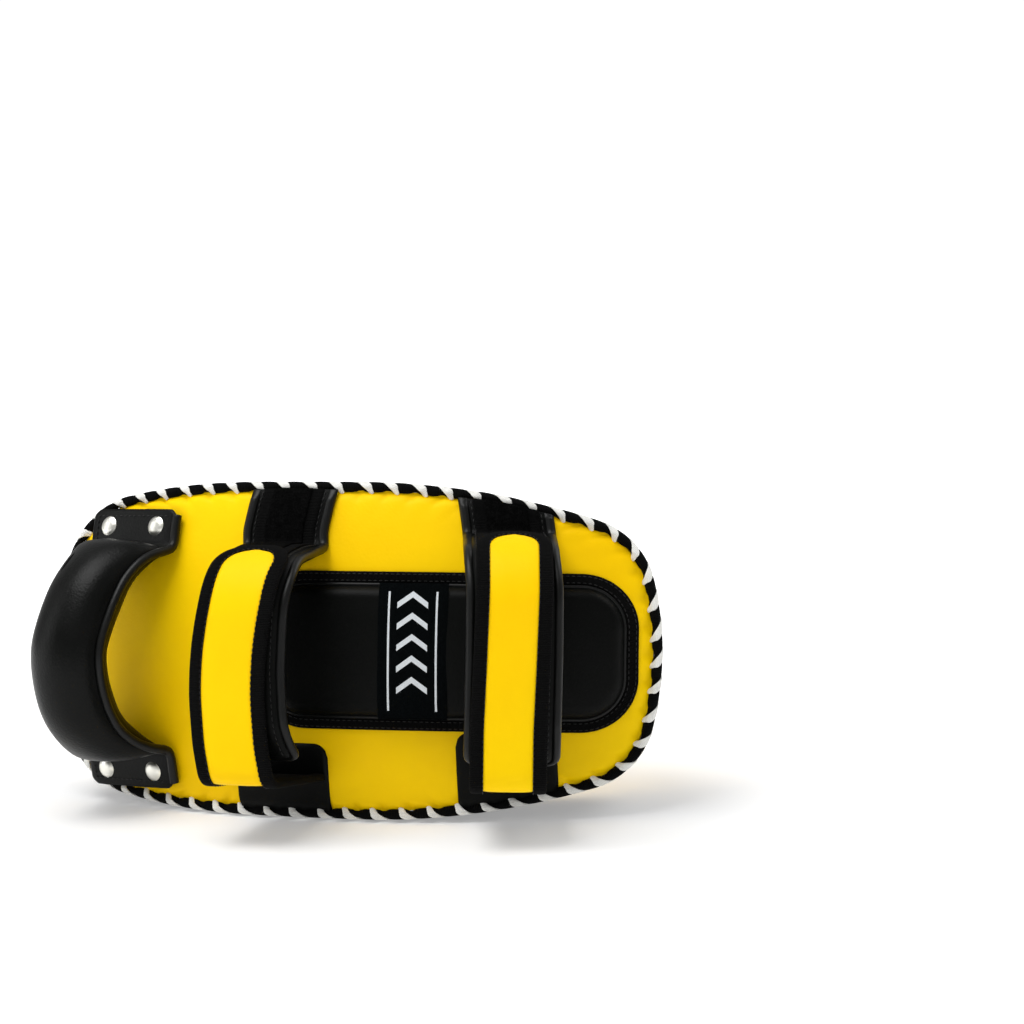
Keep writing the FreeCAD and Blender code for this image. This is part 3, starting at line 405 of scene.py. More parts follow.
class Finish:
    """A node material with a few helpers, so that each finish reads as a short list."""

    def __init__(self, name, **shader_values):
        self.material = bpy.data.materials.new(name)
        self.material.use_nodes = True
        self.tree = self.material.node_tree
        self.shader = self.tree.nodes["Principled BSDF"]
        for key, value in shader_values.items():
            self.shader.inputs[key.replace("_", " ")].default_value = value
        self.bump_input = None
        self.place = self.node("ShaderNodeTexCoord").outputs["Object"]

    def node(self, kind, inputs=None, **settings):
        item = self.tree.nodes.new(kind)
        for key, value in settings.items():
            setattr(item, key, value)
        for key, value in (inputs or {}).items():
            if isinstance(value, bpy.types.NodeSocket):
                self.tree.links.new(value, item.inputs[key])
            else:
                item.inputs[key].default_value = value
        return item

    def weave_uv(self):
        return self.node("ShaderNodeUVMap", uv_map="weave").outputs["UV"]

    def noise(self, scale, detail=3.0, roughness=0.5, vector=None):
        return self.node("ShaderNodeTexNoise", {"Vector": vector or self.place, "Scale": scale,
                                                "Detail": detail, "Roughness": roughness})

    def cells(self, scale, vector=None, feature="F1"):
        return self.node("ShaderNodeTexVoronoi", {"Vector": vector or self.place, "Scale": scale},
                         feature=feature)

    def remap(self, value, low, high, to_low=0.0, to_high=1.0):
        return self.node("ShaderNodeMapRange", {"Value": value, "From Min": low, "From Max": high,
                                                "To Min": to_low, "To Max": to_high}).outputs[0]

    def mix_colour(self, factor, first, second):
        item = self.node("ShaderNodeMix", data_type="RGBA")
        self.tree.links.new(factor, item.inputs["Factor"])
        for key, value in (("A", first), ("B", second)):
            socket = [s for s in item.inputs if s.name == key and s.type == "RGBA"][0]
            if isinstance(value, bpy.types.NodeSocket):
                self.tree.links.new(value, socket)
            else:
                socket.default_value = value
        return [s for s in item.outputs if s.type == "RGBA"][0]

    def math(self, operation, first, second=0.0):
        return self.node("ShaderNodeMath", {0: first, 1: second}, operation=operation).outputs[0]

    def bump(self, height, distance, strength=1.0):
        """Adds a bump; calls chain, the first one coarsest."""
        inputs = {"Height": height, "Distance": distance, "Strength": strength}
        if self.bump_input is not None:
            inputs["Normal"] = self.bump_input
        self.bump_input = self.node("ShaderNodeBump", inputs).outputs["Normal"]
        self.tree.links.new(self.bump_input, self.shader.inputs["Normal"])

    def link(self, output, key):
        self.tree.links.new(output, self.shader.inputs[key])


def leather(name, dark, light, roughness, grain_scale, grain_depth, shine=0.5):
    finish = Finish(name, Specular_IOR_Level=shine)
    broad = finish.noise(9.0, 3.0)
    tint = finish.mix_colour(finish.remap(broad.outputs["Fac"], 0.3, 0.7), dark, light)
    finish.link(tint, "Base Color")
    gloss = finish.noise(38.0, 4.0)
    finish.link(finish.remap(gloss.outputs["Fac"], 0.3, 0.7, roughness - 0.05,
                             roughness + 0.05), "Roughness")
    soft = finish.noise(55.0, 2.0)
    finish.bump(soft.outputs["Fac"], 0.0006, 0.25)
    pebble = finish.cells(grain_scale, feature="SMOOTH_F1")
    finish.bump(pebble.outputs["Distance"], grain_depth, 0.55)
    pores = finish.noise(grain_scale * 2.3, 3.0, 0.6)
    finish.bump(pores.outputs["Fac"], grain_depth * 0.6, 0.5)
    return finish.material


def ribbed_tape(name, dark, light, ribs_per_m):
    """Grosgrain: ribs across the tape, with fine threads along it."""
    finish = Finish(name, Roughness=0.9, Specular_IOR_Level=0.07)
    uv = finish.weave_uv()
    split = finish.node("ShaderNodeSeparateXYZ", {"Vector": uv})
    rib_phase = finish.math("MULTIPLY", split.outputs["X"], ribs_per_m * 2 * math.pi)
    ribs = finish.math("SINE", rib_phase)
    thread_phase = finish.math("MULTIPLY", split.outputs["Y"], ribs_per_m * 1.4 * 2 * math.pi)
    threads = finish.math("SINE", thread_phase)
    fuzz = finish.noise(1400.0, 3.0)
    crest = finish.remap(ribs, -1.0, 1.0)
    tone = finish.math("MULTIPLY", crest, finish.remap(fuzz.outputs["Fac"], 0.25, 0.75, 0.6, 1.2))
    finish.link(finish.mix_colour(tone, dark, light), "Base Color")
    finish.bump(crest, 0.0005, 0.9)
    finish.bump(threads, 0.00012, 0.5)
    finish.bump(fuzz.outputs["Fac"], 0.0003, 0.4)
    return finish.material


def pile(name, dark, light):
    """Brushed loops: two scales of fuzz that set both the colour and the bump."""
    finish = Finish(name, Roughness=1.0, Specular_IOR_Level=0.02)
    loops = finish.noise(1100.0, 4.0, 0.7)
    tufts = finish.noise(260.0, 3.0, 0.6)
    tone = finish.math("MULTIPLY", finish.remap(loops.outputs["Fac"], 0.35, 0.7),
                       finish.remap(tufts.outputs["Fac"], 0.3, 0.7, 0.3, 1.0))
    finish.link(finish.mix_colour(tone, dark, light), "Base Color")
    finish.bump(tufts.outputs["Fac"], 0.0012, 0.8)
    finish.bump(loops.outputs["Fac"], 0.0008, 0.9)
    return finish.material


def braided_lace(name):
    """Flat white lace: a fine herringbone across the ribbon."""
    finish = Finish(name, Roughness=0.72, Specular_IOR_Level=0.3, Sheen_Weight=0.3,
                    Sheen_Roughness=0.4)
    uv = finish.weave_uv()
    split = finish.node("ShaderNodeSeparateXYZ", {"Vector": uv})
    folded = finish.math("ABSOLUTE", split.outputs["Y"], 0.0)
    slope = finish.math("ADD", split.outputs["X"], folded)
    strands = finish.math("SINE", finish.math("MULTIPLY", slope, 2 * math.pi / (1.1 * MM)))
    crest = finish.remap(strands, -1.0, 1.0)
    fuzz = finish.noise(1500.0, 3.0)
    finish.link(finish.mix_colour(crest, linear(226, 226, 220), linear(252, 251, 247)), "Base Color")
    finish.bump(crest, 0.00025, 0.8)
    finish.bump(fuzz.outputs["Fac"], 0.0002, 0.4)
    return finish.material


def nickel(name):
    finish = Finish(name, Metallic=1.0)
    scuff = finish.noise(420.0, 4.0, 0.7)
    finish.link(finish.remap(scuff.outputs["Fac"], 0.3, 0.75, 0.3, 0.44), "Roughness")
    cloud = finish.noise(120.0, 2.0)
    finish.link(finish.mix_colour(finish.remap(cloud.outputs["Fac"], 0.3, 0.7),
                                  linear(226, 225, 214), linear(246, 245, 237)), "Base Color")
    finish.bump(scuff.outputs["Fac"], 0.0001, 0.3)
    return finish.material


def foam(name, dark, light):
    finish = Finish(name, Roughness=0.9, Specular_IOR_Level=0.2)
    bubbles = finish.cells(900.0)
    tone = finish.remap(bubbles.outputs["Distance"], 0.0, 0.7)
    finish.link(finish.mix_colour(tone, dark, light), "Base Color")
    finish.bump(bubbles.outputs["Distance"], 0.0004, 0.8)
    return finish.material


def thread(name, dark, light):
    finish = Finish(name, Roughness=0.6, Specular_IOR_Level=0.4)
    twist = finish.noise(2600.0, 2.0)
    finish.link(finish.mix_colour(finish.remap(twist.outputs["Fac"], 0.3, 0.7), dark, light),
                "Base Color")
    finish.bump(twist.outputs["Fac"], 0.0002, 0.5)
    return finish.material


YELLOW = leather("yellow_leather", linear(252, 202, 0), linear(255, 212, 0), 0.5, 620.0, 0.00016,
                 shine=0.07)
BLACK = leather("black_leather", linear(2, 3, 2), linear(6, 7, 6), 0.36, 760.0, 0.0002,
                shine=0.13)
CUFF_BLACK = leather("cuff_leather", linear(3, 4, 3), linear(6, 7, 6), 0.45, 820.0, 0.00016,
                     shine=0.08)
PIPING = leather("soft_piping", linear(3, 4, 3), linear(7, 8, 7), 0.4, 900.0, 0.0001,
                 shine=0.24)
TAPE = ribbed_tape("black_webbing", linear(2, 2, 2), linear(14, 14, 14), 1000.0)
PILE = pile("loop_pile", linear(2, 2, 2), linear(20, 20, 20))
HOOKS = pile("hook_tape", linear(3, 3, 3), linear(14, 14, 14))
LABEL = pile("woven_label", linear(5, 7, 8), linear(12, 15, 16))
LACE = braided_lace("lace")
NICKEL = nickel("nickel")
FOAM = foam("foam", linear(48, 50, 52), linear(86, 88, 90))
BLACK_THREAD = thread("black_thread", linear(6, 6, 6), linear(20, 20, 20))
WHITE_THREAD = thread("label_thread", linear(196, 202, 206), linear(228, 232, 235))


def finished(item, material, body="pad", replaces=()):
    """Material, slot, what it stands for, and the body it rides on."""
    item.data.materials.clear()
    item.data.materials.append(material)
    if replaces:
        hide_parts(*replaces)
    if isinstance(body, str):
        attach(item, body)
    else:
        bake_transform(item)
    return item


def sew(name, path, out, sizes, body="pad", seat=False):
    """A finished row of stitches; sizes are pitch, length and radius in millimetres."""
    item = stitch_run(name, path, out, *(size * MM for size in sizes))
    if seat:
        item.data.transform(SEAT)
    return finished(item, BLACK_THREAD, body)


# --------------------------------------------------------------------- shell and lacing
WRAPS = int(round((outline(64)[2] + 2 * math.pi * WELT_REACH) / LACE_PITCH))
PER_WRAP = 12
ROUND = WRAPS * PER_WRAP
FLAT_RIM, RIM_NORMAL, RIM_LENGTH, ELBOW_WEIGHT = outline(ROUND)


def wall_outline(spots, normals, weights, depth):
    """Outline points carried down the side wall to a depth each."""
    x = spots[:, 0] - ELBOW_SLOPE * (depth - ELBOW_SLOPE_FROM) * weights
    return np.stack([x, spots[:, 1]], -1) - normals * (math.tan(FLARE) * depth)[:, None]


def rim_outline(spots, normals, weights):
    """Outline points where the side wall meets the back cover."""
    placed = spots
    for _ in range(4):
        depth = back_point(placed[:, 0], placed[:, 1], 0.0)[:, 1]
        placed = wall_outline(spots, normals, weights, depth)
    return placed


RIM = rim_outline(FLAT_RIM, RIM_NORMAL, ELBOW_WEIGHT)
RIM_POINT = back_point(RIM[:, 0], RIM[:, 1], 0.0)
RIM_ALONG = directions(RIM_POINT, closed=True)
RIM_OUT = unit(np.stack([RIM_NORMAL[:, 0], np.zeros(ROUND), RIM_NORMAL[:, 1]], -1))
RIM_IN_DEPTH = unit(np.cross(RIM_ALONG, RIM_OUT))
RIM_IN_DEPTH *= np.sign(RIM_IN_DEPTH[:, 1:2])
RIM_REACH = (RIM * RIM_NORMAL).sum(1)
WRAP_PHASE = np.arange(ROUND) / PER_WRAP * 2 * math.pi


def from_outline(spread, count_rings):
    """Rings scaled about the pad's middle, closer together towards the rim."""
    return 1 - (1 - np.linspace(0, 1, count_rings + 1)[1:]) ** spread


def back_cover():
    rings = from_outline(1.7, 60)
    points = [back_point(0.0, 0.0, 0.0)]
    hole_squeeze = np.exp(-((1 - np.cos(WRAP_PHASE)) / 0.45))
    for share in rings:
        inset = (1 - share) * RIM_REACH
        rise = -2.4 * MM * np.exp(-(inset / (3.4 * MM)) ** 2)
        dimple = hole_squeeze * np.exp(-((inset - 3.6 * MM) / (3.2 * MM)) ** 2)
        rise -= 1.3 * MM * dimple
        pucker = np.cos(WRAP_PHASE) * np.exp(-((inset - 9 * MM) / (7 * MM)) ** 2)
        rise -= 0.12 * MM * pucker
        spot = RIM * share
        points.extend(back_point(spot[:, 0], spot[:, 1], rise))
    uvs = np.array(points)[:, [0, 2]]
    item = mesh_object("back_cover_leather", seated(np.array(points)),
                       disc_faces(len(rings), ROUND), uvs)
    return finished(item, YELLOW, replaces=("back_cover", "back_foam"))


def wall_spot(depth, inset=0.0):
    """Side wall points of every outline station at a depth each, moved in by inset."""
    spots = wall_outline(FLAT_RIM, RIM_NORMAL, ELBOW_WEIGHT, depth)
    spots -= RIM_NORMAL * np.reshape(inset, (-1, 1))
    return np.stack([spots[:, 0], depth, spots[:, 1]], -1)


FACE_EDGE = 7.0 * MM          # rounding where the striking face turns into the side wall
SEAM_DROP = 2.0 * MM          # face leather carried past the rounding to the seam


def face_edge_depth():
    depth = np.full(ROUND, SHELL_DEPTH)
    for _ in range(4):
        spot = wall_spot(depth, FACE_EDGE)
        depth = face_depth(spot[:, 0], spot[:, 2])
    return depth


EDGE_DEPTH = face_edge_depth()


def gussets():
    """Side wall in two halves that meet at a lapped seam in the middle of each end."""
    back = RIM_POINT[:, 1] + 3.0 * MM
    front = EDGE_DEPTH - FACE_EDGE - SEAM_DROP + 0.4 * MM
    rows = 26
    grid = []
    wobble = rng.normal(0, 1, 40)
    angle = np.arange(ROUND) / ROUND * 2 * math.pi
    for row in range(rows):
        share = row / (rows - 1)
        depth = back + (front - back) * share
        bulge = 1.5 * MM * math.sin(math.pi * share) ** 0.8
        tuck = -1.6 * MM * math.exp(-((1 - share) * 26) ** 1.3)
        crease = np.zeros(ROUND)
        for k in range(1, 14):
            crease += wobble[k] * np.sin(k * 5 * angle + wobble[k + 14] * 9 + share * wobble[k + 20])
        edge_pull = math.exp(-(share * 7) ** 2) + 0.6 * math.exp(-((1 - share) * 6) ** 2)
        lift = bulge + tuck + 0.05 * MM * crease * (0.4 + edge_pull)
        lift = lift - 0.25 * MM * np.cos(WRAP_PHASE) * math.exp(-(share * 9) ** 2)
        grid.append(wall_spot(depth, -lift))
    grid = np.array(grid)
    uv = grid[..., [0, 1]].copy()
    half = ROUND // 2
    for name, picks in (("upper", np.arange(0, half + 1)),
                        ("lower", np.arange(half, ROUND + 1) % ROUND)):
        part = grid[:, picks].copy()
        lap = np.minimum(np.arange(len(picks)), np.arange(len(picks))[::-1])
        fold = np.exp(-(lap / 1.6) ** 2) * (0.8 if name == "upper" else -0.2) * MM
        part += RIM_OUT[picks][None] * fold[None, :, None]
        item = grid_object("gusset_%s_leather" % name, seated(part), uv[:, picks])
        finished(item, BLACK, replaces=("gusset_" + name,))
    # stitch rows beside each end seam
    for end, station in (("elbow", 0), ("grip", half)):
        for k, shift in enumerate((3, -3)):
            column = grid[2:-2, (station + shift) % ROUND] + RIM_OUT[station] * 0.1 * MM
            out = np.repeat(RIM_OUT[station][None], len(column), 0)
            sew("gusset_%s_stitches_%d" % (end, k), column, out, (3.6, 2.8, 0.32),
                seat=True)


def face_panel():
    """Striking face: a gently crowned, bent panel that rolls over into the side wall."""
    rings = from_outline(1.5, 44)
    edge = wall_spot(EDGE_DEPTH, FACE_EDGE)
    points = [np.array([0.0, face_depth(0.0, 0.0), 0.0])]
    for share in rings:
        x, z = edge[:, 0] * share, edge[:, 2] * share
        points.extend(np.stack([x, face_depth(x, z), z], -1))
    steps = 9
    for step in range(1, steps + 1):
        turn = step / steps * math.pi / 2
        inset = FACE_EDGE * (1 - math.sin(turn))
        depth = EDGE_DEPTH - FACE_EDGE * (1 - math.cos(turn))
        points.extend(wall_spot(depth, inset))
    skirt = EDGE_DEPTH - FACE_EDGE
    for drop, inset in ((0.8, -0.1), (1.5, 0.1), (2.0, 0.9), (2.4, 1.8)):
        points.extend(wall_spot(skirt - drop * MM, inset * MM))
    points = np.array(points)
    item = mesh_object("striking_face_leather", seated(points),
                       disc_faces(len(rings) + steps + 4, ROUND, flip=True), points[:, [0, 2]])
    finished(item, YELLOW, replaces=("front_cover", "front_foam"))
    seam = wall_spot(skirt - 3.1 * MM, -0.75 * MM)
    return sew("face_seam_stitches", ring(seam), ring(RIM_OUT), (4.0, 2.9, 0.3),
               seat=True)


WELT_OUT = 1.3 * MM           # middle of the bound edge, outwards from the wall
WELT_DOWN = 2.3 * MM          # and below the cover's surface
WELT_HALF_OUT = 3.3 * MM
WELT_HALF_DEEP = 3.3 * MM


def welt():
    """Bound edge that stands out round the rim, pinched by every lace wrap."""
    per_wrap = 18
    fine = WRAPS * per_wrap
    spots, normals, _, weights = outline(fine)
    spots = rim_outline(spots, normals, weights)
    base = back_point(spots[:, 0], spots[:, 1], 0.0)
    along = directions(base, closed=True)
    out = unit(np.stack([normals[:, 0], np.zeros(fine), normals[:, 1]], -1))
    deep = unit(np.cross(along, out))
    deep *= np.sign(deep[:, 1:2])
    phase = np.arange(fine) / per_wrap * 2 * math.pi
    pinch = np.exp(-(1 - np.cos(phase)) / 0.5)
    jitter = np.interp(np.arange(fine), np.arange(WRAPS + 1) * per_wrap,
                       np.append(rng.normal(0, 0.25, WRAPS), 0.0)) * MM
    middle = base + out * (WELT_OUT + jitter * 0.4)[:, None] + deep * WELT_DOWN
    squeeze = ring(pinch)
    grid, uv = tube(ring(middle), ring(out), ring(deep), WELT_HALF_OUT - 1.5 * MM * squeeze,
                    WELT_HALF_DEEP - 0.9 * MM * squeeze, around=18)
    item = grid_object("rim_welt_tape", seated(grid), uv, wrap_columns=True)
    return finished(item, TAPE, replaces=("rim_welt",))


def lacing():
    """Flat lace, one slanted wrap per eyelet round the bound edge."""
    stations = 26
    section = 12
    ribbons = []
    rim_steps = np.arange(ROUND + 1) / ROUND
    closed = [ring(rows) for rows in (RIM_POINT, RIM_OUT, RIM_IN_DEPTH)]
    for wrap in range(WRAPS):
        start = wrap / WRAPS
        lean = 7.2 * MM * (1 + rng.normal(0, 0.07)) / RIM_LENGTH
        slip = rng.normal(0, 0.35) * MM / RIM_LENGTH
        half_wide = 2.35 * MM * (1 + rng.normal(0, 0.03))
        share = np.linspace(0, 1, stations)
        sweep = np.radians(-118 + 236 * share)
        reach_out = WELT_HALF_OUT - 0.75 * MM
        reach_deep = WELT_HALF_DEEP - 0.1 * MM
        outwards = WELT_OUT + reach_out * np.cos(sweep)
        inwards = WELT_DOWN + reach_deep * np.sin(sweep)
        back_end = smooth_step((0.16 - share) / 0.16)
        face_end = smooth_step((share - 0.86) / 0.14)
        outwards = outwards - back_end * 2.6 * MM - face_end * 0.4 * MM
        inwards = inwards + back_end * 1.6 * MM + face_end * 3.2 * MM
        spot = start + slip + lean * (share - 0.5) * 2
        base, out, deep = (sampled(spot % 1.0, rim_steps, rows) for rows in closed)
        out, deep = unit(out), unit(deep)
        middle = base + out * outwards[:, None] + deep * inwards[:, None]
        normal = unit(out * (outwards - WELT_OUT)[:, None] + deep * (inwards - WELT_DOWN)[:, None])
        tangent = directions(middle)
        side = unit(np.cross(tangent, normal))
        normal = unit(np.cross(side, tangent))
        taper = 1 - 0.35 * smooth_step((np.abs(share - 0.5) - 0.36) / 0.14)
        grid, uv = tube(middle, side, normal, half_wide * taper, 0.8 * MM, around=section)
        angles = np.arange(section) / section * 2 * math.pi
        uv[..., 1] = (half_wide * np.cos(angles))[None, :]
        ribbons.append(grid_object("wrap", seated(grid), uv, wrap_columns=True, caps=True))
    item = joined("rim_lacing_lace", ribbons)
    return finished(outward(item), LACE, replaces=("rim_lacing",))


# ------------------------------------------------------------------------ forearm cushion
CUSHION = (-46.0 * MM, 183.5 * MM, -47.0 * MM, 48.0 * MM)
CUSHION_CORNER = 33.0 * MM
CUSHION_BORDER = 7.0 * MM
CUSHION_HEIGHT = 10.0 * MM
CUSHION_POINTS = 360


def cushion_outline(inset, count=CUSHION_POINTS):
    """Even points and outward normals round the cushion, inset from its edge."""
    left, right, low, high = CUSHION
    left, right, low, high = left + inset, right - inset, low + inset, high - inset
    corner = max(CUSHION_CORNER - inset, 0.5 * MM)
    points, normals = [], []
    fine = 24
    centres = ((right - corner, high - corner, 0), (left + corner, high - corner, 90),
               (left + corner, low + corner, 180), (right - corner, low + corner, 270))
    for cx, cz, begin in centres:
        for step in range(fine + 1):
            angle = math.radians(begin + 90 * step / fine)
            points.append((cx + corner * math.cos(angle), cz + corner * math.sin(angle)))
            normals.append((math.cos(angle), math.sin(angle)))
    closed = ring(np.array(points))
    length = path_length(closed)
    wanted = np.arange(count) / count * length[-1]
    facing = unit(sampled(wanted, length, ring(np.array(normals))))
    return sampled(wanted, length, closed), facing


def cushion_cover():
    """Stuffed leather top of the forearm cushion."""
    edge_inset = CUSHION_BORDER + 0.6 * MM
    edge, _ = cushion_outline(edge_inset)
    centre = np.array([(CUSHION[0] + CUSHION[1]) / 2, (CUSHION[2] + CUSHION[3]) / 2])
    shoulder = 11.0 * MM
    flat, _ = cushion_outline(edge_inset + shoulder)
    points = [back_point(centre[0], centre[1], CUSHION_HEIGHT)]
    shares = np.linspace(0, 1, 13)[1:]
    spoke = unit(flat - centre)
    for share in shares:
        square = share ** 0.7
        spot = centre + (flat - centre) * share * square + spoke * 26 * MM * share * (1 - square)
        rise = CUSHION_HEIGHT - 0.9 * MM * share ** 3
        points.extend(back_point(spot[:, 0], spot[:, 1], rise))
    steps = 16
    for step in range(1, steps + 1):
        inset = edge_inset + shoulder * (1 - step / steps)
        spot, _ = cushion_outline(inset)
        low = 1.0 * MM
        drop = (step / steps) ** 3.2
        rise = (CUSHION_HEIGHT - 0.9 * MM) * (1 - drop) + low * drop
        points.extend(back_point(spot[:, 0], spot[:, 1], rise))
    points.extend(back_point(edge[:, 0], edge[:, 1], 0.2 * MM))
    points = np.array(points)
    item = mesh_object("forearm_cushion_leather", seated(points),
                       disc_faces(len(shares) + steps + 1, CUSHION_POINTS), points[:, [0, 2]])
    finished(item, CUFF_BLACK,
             replaces=("forearm_pad_cover", "forearm_pad_foam"))


def cushion_border():
    """Flat webbing round the cushion, a thin piping bead inside it and two rows of stitches."""
    rows = []
    profile = ((0.0, 0.2), (0.0, 1.6), (0.5, 2.1), (2.2, 2.35), (5.4, 2.35), (6.8, 2.0), (7.4, 0.6))
    for inset, rise in profile:
        spots, _ = cushion_outline(inset * MM)
        rows.append(back_point(spots[:, 0], spots[:, 1], rise * MM))
    rows = np.array(rows)
    girth = 0.62
    uv = uv_grid([inset * MM for inset, _ in profile],
                 np.arange(CUSHION_POINTS) / CUSHION_POINTS * girth)[..., ::-1]
    item = grid_object("forearm_cushion_border", seated(rows), uv, wrap_columns=True, flip=True)
    finished(item, TAPE, replaces=("forearm_pad_binding",))
    spots, facing = cushion_outline(CUSHION_BORDER + 1.0 * MM)
    bead = ring(back_point(spots[:, 0], spots[:, 1], 2.6 * MM))
    out = ring(np.stack([facing[:, 0], np.zeros(CUSHION_POINTS), facing[:, 1]], -1))
    up = unit(np.cross(out, directions(bead)))
    grid, uv = tube(bead, out, up, 1.15 * MM, 1.15 * MM, around=8)
    item = grid_object("forearm_cushion_bead", seated(grid), uv, wrap_columns=True)
    finished(item, PIPING)
    for name, inset in (("outer", 1.6), ("inner", 5.6)):
        spots, _ = cushion_outline(inset * MM)
        line = ring(back_point(spots[:, 0], spots[:, 1], 2.45 * MM))
        lift = unit(line - ring(back_point(spots[:, 0], spots[:, 1], 0.0)))
        sew("forearm_border_stitches_" + name, line, lift, (3.4, 2.6, 0.3),
            seat=True)


def label():
    """Satin panel sewn across the cushion, woven with plain nested chevrons between two bars."""
    left, right, low, high = 34.5 * MM, 75.5 * MM, -39.0 * MM, 40.5 * MM
    columns, rows = 26, 50
    x = np.linspace(left, right, columns)[None, :]
    z = np.linspace(low, high, rows)[:, None]
    edge = np.minimum(np.minimum(x - left, right - x), np.minimum(z - low, high - z))
    rise = CUSHION_HEIGHT - 0.2 * MM + 0.55 * MM * smooth_step(edge / (0.8 * MM))
    rise = rise - 0.9 * MM * smooth_step((np.abs(z) - 26 * MM) / (14 * MM))
    grid = back_point(x + 0 * z, z + 0 * x, rise)
    item = grid_object("label_panel", seated(grid), grid[..., [0, 2]])
    finished(item, LABEL, replaces=("label_patch",))

    def woven(name, corners):
        """A flat shape on the label, from corners in x and z, millimetres."""
        shape = np.array(corners) * MM
        steps = 12
        rails = [shape[:len(shape) // 2], shape[len(shape) // 2:][::-1]]
        lines = []
        for rail in rails:
            run = np.linspace(0, len(rail) - 1, steps * (len(rail) - 1) + 1)
            lines.append(np.stack([np.interp(run, np.arange(len(rail)), rail[:, k])
                                   for k in (0, 1)], -1))
        share = np.linspace(0, 1, 4)[:, None, None]
        flat = lines[0][None] * (1 - share) + lines[1][None] * share
        lift = CUSHION_HEIGHT + 0.5 * MM - 0.9 * MM * smooth_step(
            (np.abs(flat[..., 1]) - 26 * MM) / (14 * MM))
        points = back_point(flat[..., 0], flat[..., 1], lift)
        mark = grid_object(name, seated(points), flat)
        finished(mark, WHITE_THREAD)

    woven("label_bar_low", [(40.5, -34), (40.5, 35.5), (41.7, 35.5), (41.7, -34)])
    woven("label_bar_high", [(68.5, -34), (68.5, 35.5), (69.7, 35.5), (69.7, -34)])
    for k in range(5):
        tip = -24 + 12.4 * k
        woven("label_chevron_%d" % k, [(46, tip), (55, tip + 6.5), (64, tip),
                                       (64, tip + 3.6), (55, tip + 10.1), (46, tip + 3.6)])


# -------------------------------------------------------------------- the forearm loops
def leg_points(start, heading, legs, spacing=1.0 * MM):
    """Points (y, z) along lines and arcs; headings in degrees from +y towards +z."""
    points = [np.array(start)]
    y, z, angle = start[0], start[1], heading
    for length, radius, turn in legs:
        rad = math.radians(angle)
        if radius == 0:
            steps = max(2, int(length / spacing))
            for step in range(1, steps + 1):
                run = length * step / steps
                points.append(np.array([y + run * math.cos(rad), z + run * math.sin(rad)]))
            y, z = points[-1]
            continue
        hand = math.copysign(1.0, turn)
        centre = np.array([y - hand * radius * math.sin(rad), z + hand * radius * math.cos(rad)])
        steps = max(3, int(math.radians(abs(turn)) * radius / spacing))
        for step in range(1, steps + 1):
            spoke = math.radians(angle + turn * step / steps)
            points.append(centre + hand * radius * np.array([math.sin(spoke), -math.cos(spoke)]))
        angle += turn
        y, z = points[-1]
    return np.array(points)


def dome_line(z_from, z_to, rise, spacing=1.0 * MM):
    """Points (y, z) over the back at mid length, lifted by rise."""
    count = max(3, int(abs(z_to - z_from) / spacing))
    line = back_point(0.0, np.linspace(z_from, z_to, count), rise)
    return line[:, 1:]


def eased(points, width):
    """A path with its corners rounded by averaging, its ends kept."""
    length = path_length(points)
    count = int(length[-1] / (1.0 * MM))
    line = sampled(np.linspace(0, length[-1], count), length, points)
    reach = int(width / (1.0 * MM))
    kernel = np.hanning(2 * reach + 3)[1:-1]
    kernel /= kernel.sum()
    padded = np.vstack([2 * line[0] - line[reach:0:-1], line, 2 * line[-1] - line[-2:-reach - 2:-1]])
    return np.stack([np.convolve(padded[:, k], kernel, "valid") for k in (0, 1)], -1)


SWAY_REACH = 10               # path points over which a ribbon's sideways wander is smoothed


class Ribbon:
    """A band that follows a path in the y-z plane: u across it, v along it, w out of it."""

    def __init__(self, points, angle, sway=(), hug=None, start_of=None):
        self.points = points
        self.start_of = start_of
        run = unit(np.gradient(points, axis=0))
        self.normal = np.stack([run[:, 1], -run[:, 0]], -1)
        self.run = run
        self.length_at = path_length(points)
        self.length = self.length_at[-1]
        self.bend = bend_matrix(angle)
        heights = np.array([spot[0] for spot in sway] or [0.0]) * MM
        shifts = np.array([spot[1] for spot in sway] or [0.0]) * MM
        wander = np.pad(np.interp(points[:, 1], heights, shifts), SWAY_REACH, "edge")
        kernel = np.hanning(2 * SWAY_REACH + 3)[1:-1]
        wander = np.convolve(wander, kernel / kernel.sum(), "valid")
        self.sway = lambda v: np.interp(v, self.length_at, wander)
        self.hug = hug or (lambda v: 0.0 * v)

    def at(self, u, v, w):
        u, v, w = np.broadcast_arrays(np.asarray(u, float), np.asarray(v, float), w)
        if self.start_of is not None:
            v = v + self.start_of(u + self.sway(v)) * (1 - smooth_step(v / (22 * MM)))
        inside = np.clip(v, 0, self.length)
        spot, run, normal = (sampled(inside, self.length_at, table)
                             for table in (self.points, self.run, self.normal))
        lift = w - self.hug(v) * u * u / (2 * BACK_BEND)
        spot = spot + run * (v - inside)[..., None] + normal * lift[..., None]
        local = np.concatenate([(u + self.sway(v))[..., None], spot], -1)
        return seated(moved(local, self.bend))


